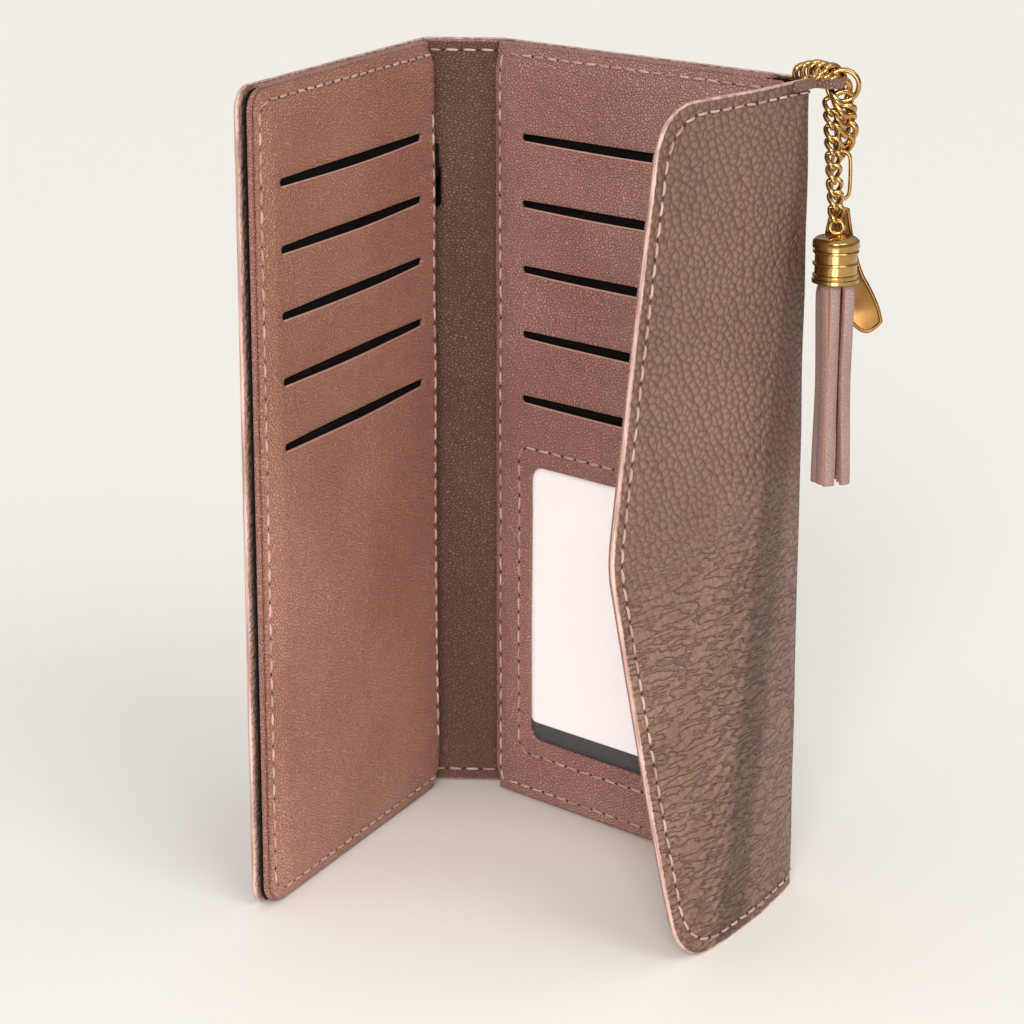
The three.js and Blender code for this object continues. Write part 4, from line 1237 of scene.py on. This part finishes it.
cap_middle, cap_low, cap_high = centre_of("tassel_cap")
CAP_R = (cap_high[0] - cap_low[0]) / 2
c0, c1 = cap_low[2], cap_high[2]
cap_profile = [(0, c0 + 3), (CAP_R - 0.6, c0 + 3), (CAP_R - 0.6, c0 + 0.15), (CAP_R - 0.45, c0), (CAP_R - 0.12, c0),
               (CAP_R, c0 + 0.12), (CAP_R, c0 + 0.8), (CAP_R - 0.12, c0 + 0.92), (CAP_R - 0.42, c0 + 1.0),
               (CAP_R - 0.45, c0 + 1.4), (CAP_R - 0.15, c0 + 1.5), (CAP_R - 0.1, c0 + 1.7),
               (CAP_R - 0.15, c0 + 1.9), (CAP_R - 0.5, c0 + 2.05), (CAP_R - 0.55, c0 + 3.9),
               (CAP_R - 0.15, c0 + 4.05), (CAP_R - 0.05, c0 + 4.3), (CAP_R - 0.15, c0 + 4.55),
               (CAP_R - 0.55, c0 + 4.7), (CAP_R - 0.55, c0 + 6.6), (CAP_R - 0.15, c0 + 6.75),
               (CAP_R - 0.05, c0 + 7.0), (CAP_R - 0.15, c0 + 7.25), (CAP_R - 0.45, c0 + 7.4),
               (CAP_R - 0.45, c0 + 7.8), (CAP_R, c0 + 7.95), (CAP_R, c1 - 1.0), (CAP_R - 0.1, c1 - 0.7),
               (CAP_R - 0.8, c1 - 0.12), (CAP_R - 1.1, c1), (1.6, c1), (0, c1)]
turned_profile("fine_cap", cap_middle, cap_profile, 64, GOLD, "tassel", ("tassel_cap",))

STRIPS_AROUND = 8
_, strip_low, strip_high = centre_of("tassel_strip_1")
for number in range(1, STRIPS_AROUND + 2):
    central = number > STRIPS_AROUND
    angle = number * 2 * math.pi / STRIPS_AROUND + random.uniform(-0.12, 0.12)
    twist = random.uniform(-0.2, 0.2)
    flare = random.uniform(0.1, 0.6)
    own_turn = (0.55 if number % 2 else -0.25) + random.uniform(-0.15, 0.15)
    half = 1.35
    length = strip_high[2] - strip_low[2] - random.uniform(0.0, 1.2)
    points, faces, flats, edges = [], [], [], []
    along, across = 46, 6
    section = [(half * (2 * k / across - 1), 0.4) for k in range(across + 1)]
    section += [(x, -0.4) for x, _ in reversed(section)]
    for i in range(along + 1):
        share = i / along
        spread = 1.2 * smooth(0.0, 0.1, share) - 0.4 * smooth(0.1, 0.55, share) + flare * smooth(0.5, 1.0, share)
        radius = 0.0 if central else (2.05 if number % 2 else 2.6) + spread
        turn = angle + twist * share + 0.04 * math.sin(5 * share + number)
        facing = turn + own_turn * smooth(0.0, 0.12, share)
        row = []
        for x, y in section:
            out_ = y - 0.22 * x * x / half
            points.append((cap_middle[0] + radius * math.cos(turn) + out_ * math.cos(facing) - x * math.sin(facing),
                           cap_middle[1] + radius * math.sin(turn) + out_ * math.sin(facing) + x * math.cos(facing),
                           strip_high[2] - share * length))
            row.append(len(points) - 1)
            flats.append((x + 9 * number, points[-1][2], y))
            edges.append(0.8 if abs(abs(x) - half) < 1e-6 or i == along else 0.0)
        size_ = len(row)
        if i:
            faces += [(last[k], last[(k + 1) % size_], row[(k + 1) % size_], row[k]) for k in range(size_)]
        else:
            faces.append(row)
        last = row
    faces.append(last[::-1])
    strip_piece = new_mesh(f"tassel_leather_{number}", np.array(points) * MM, faces, TASSEL_LEATHER,
                           np.array(flats), {"edge": edges})
    mark_sharp(strip_piece.data, 50)
    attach(strip_piece, "tassel")
    if number <= 6:
        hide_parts(f"tassel_strip_{number}")

leaf_pin = centre_of("leaf_jump_ring")[0]
leaf_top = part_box("leaf_charm")[1].z / MM - 1.9
left_side = np.concatenate((bezier(*map(np.array, ((-1.7, 0.6), (-3.2, -10.0), (-5.6, -15.0))), 18),
                            bezier(*map(np.array, ((-5.6, -15.0), (-9.3, -21.0), (-10.0, -25.3))), 14)[1:]))
right_side = np.concatenate((bezier(*map(np.array, ((1.7, 0.6), (3.0, -4.0), (3.4, -10.0))), 12),
                             bezier(*map(np.array, ((3.4, -10.0), (3.6, -19.0), (-3.5, -25.4))), 20)[1:]))


def along_line(line, shares):
    run = np.concatenate(([0], np.cumsum(np.linalg.norm(np.diff(line, axis=0), axis=1))))
    return np.stack([np.interp(shares * run[-1], run, line[:, k]) for k in (0, 1)], 1)


shares = np.linspace(0, 1, 37)
sides_ = along_line(left_side, shares), along_line(right_side, shares)
points, faces = [], []
width_count = 12
for layer in (0.32, -0.32):
    for i, share in enumerate(shares):
        for k in range(width_count + 1):
            w = k / width_count
            spot = sides_[0][i] * (1 - w) + sides_[1][i] * w
            tip = np.array((0.0, -2.2)) * math.sin(math.pi * w) * smooth(0.85, 1.0, share)
            cup = 1.5 * math.sin(math.pi * w) * math.sin(math.pi * min(1, share * 1.15)) - 1.2 * share ** 2
            spot = spot + tip
            points.append((leaf_pin[0] + leaf_x[0] * spot[0] + leaf_out[0] * (cup + layer),
                           leaf_pin[1] + leaf_x[1] * spot[0] + leaf_out[1] * (cup + layer),
                           leaf_top + spot[1]))
size_ = len(shares) * (width_count + 1)
grid_ = np.arange(size_).reshape(len(shares), width_count + 1)
for i in range(len(shares) - 1):
    for k in range(width_count):
        a, b, c, d = grid_[i, k], grid_[i, k + 1], grid_[i + 1, k + 1], grid_[i + 1, k]
        faces += [(a, b, c, d), (a + size_, d + size_, c + size_, b + size_)]
around = ([(0, k) for k in range(width_count)] + [(i, width_count) for i in range(len(shares) - 1)]
          + [(len(shares) - 1, k) for k in range(width_count, 0, -1)] + [(i, 0) for i in range(len(shares) - 1, 0, -1)])
for spot, following in zip(around, around[1:] + around[:1]):
    faces.append((grid_[following], grid_[spot], grid_[spot] + size_, grid_[following] + size_))
leaf_piece = new_mesh("leaf_plate", np.array(points) * MM, faces, BRONZE)
mark_sharp(leaf_piece.data, 50)
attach(leaf_piece, "leaf")
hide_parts("leaf_charm")
rim_path = np.array([points[grid_[spot]] for spot in around + around[:1]])


def world_tube(name, path, radius, material, body, sides=8):
    """A closed ring of tube along row-frame points in millimetres."""
    path = np.asarray(path)[:-1]
    step = np.roll(path, -1, 0) - np.roll(path, 1, 0)
    step /= np.linalg.norm(step, axis=1)[:, None]
    side = np.cross(step, np.array((*leaf_out, 0.0)))
    side /= np.maximum(np.linalg.norm(side, axis=1), 1e-9)[:, None]
    up = np.cross(side, step)
    angles = np.arange(sides) * 2 * math.pi / sides
    rings = path[:, None] + radius * (side[:, None] * np.cos(angles)[:, None] + up[:, None] * np.sin(angles)[:, None])
    count = len(path)
    faces = [(i * sides + k, i * sides + (k + 1) % sides, (i + 1) % count * sides + (k + 1) % sides,
              (i + 1) % count * sides + k) for i in range(count) for k in range(sides)]
    piece = new_mesh(name, rings.reshape(-1, 3) * MM, faces, material)
    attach(piece, body)
    return piece


world_tube("leaf_rim", rim_path, 0.42, BRONZE, "leaf")

# ---------- materials of the CAD nodes that stay ----------
KEPT = {
    "lining": BLACK_FABRIC, "bill_pocket_wall": BLACK_FABRIC, "tape": BLACK_FABRIC,
    "stiffener": BOARD, "window_film": FILM, "insert_card": PAPER, "zip_teeth": BLACK_METAL,
    "zip_slider": BLACK_METAL, "zip_pull": BLACK_METAL, "steel": STEEL, "magnet": STEEL,
}
for node_name, node in frame["nodes"].items():
    for key, material in KEPT.items():
        if key in node_name:
            node.data.materials.clear()
            node.data.materials.append(material)
            break

# ---------- floor, light and camera ----------
camera_data = bpy.data.cameras.new("camera")
camera = bpy.data.objects.new("camera", camera_data)
scene.collection.objects.link(camera)
camera_data.lens = 112.7
camera_data.clip_start = 0.01
camera.location = (0.5027, -0.5424, 0.2886)
camera.rotation_euler = (math.radians(74.31), 0, math.radians(45.27))
scene.camera = camera

world = bpy.data.worlds.new("world")
scene.world = world
world.use_nodes = True
sky, sky_links = world.node_tree.nodes, world.node_tree.links
direction = sky.new("ShaderNodeSeparateXYZ")
sky_links.new(sky.new("ShaderNodeTexCoord").outputs["Generated"], direction.inputs[0])
overhead = sky.new("ShaderNodeMapRange")
for socket, value in zip(list(overhead.inputs)[1:5], (0.0, 0.8, 0.14, 0.72)):
    socket.default_value = value
sky_links.new(direction.outputs["Z"], overhead.inputs[0])
sky_links.new(overhead.outputs[0], sky["Background"].inputs["Strength"])
sky["Background"].inputs["Color"].default_value = (*linear(253, 251, 248), 1)
scene.view_settings.view_transform = "Standard"

floor_mesh = bpy.data.meshes.new("floor")
floor_mesh.from_pydata([(-60, -60, 0), (60, -60, 0), (60, 60, 0), (-60, 60, 0)], [], [(0, 1, 2, 3)])
floor = bpy.data.objects.new("floor", floor_mesh)
scene.collection.objects.link(floor)
floor.location.z = -0.0002
floor_look = Shader("floor", linear(248, 246, 241), 0.7)
floor_mesh.materials.append(floor_look.material)


def soft_sun(name, toward, strength, angle, colour):
    """A distant soft light that shines from the given direction."""
    data = bpy.data.lights.new(name, "SUN")
    data.energy = strength
    data.angle = math.radians(angle)
    data.color = colour
    light = bpy.data.objects.new(name, data)
    scene.collection.objects.link(light)
    light.rotation_euler = Vector(toward).to_track_quat("Z", "Y").to_euler()


soft_sun("key", (0.62, -0.75, 0.5), 1.7, 22, (1.0, 0.96, 0.92))
soft_sun("fill", (0.9, -0.15, 0.75), 0.75, 35, (1.0, 0.98, 0.96))
low_light = bpy.data.lights.new("low", "AREA")
low_light.energy, low_light.size, low_light.color = 0.4, 0.16, (1.0, 0.97, 0.94)
low_lamp = bpy.data.objects.new("low", low_light)
scene.collection.objects.link(low_lamp)
low_lamp.location = (0.25, -0.25, 0.03)
low_lamp.visible_camera = False
low_lamp.rotation_euler = Vector((0.7, -0.7, 0.0)).to_track_quat("Z", "Y").to_euler()
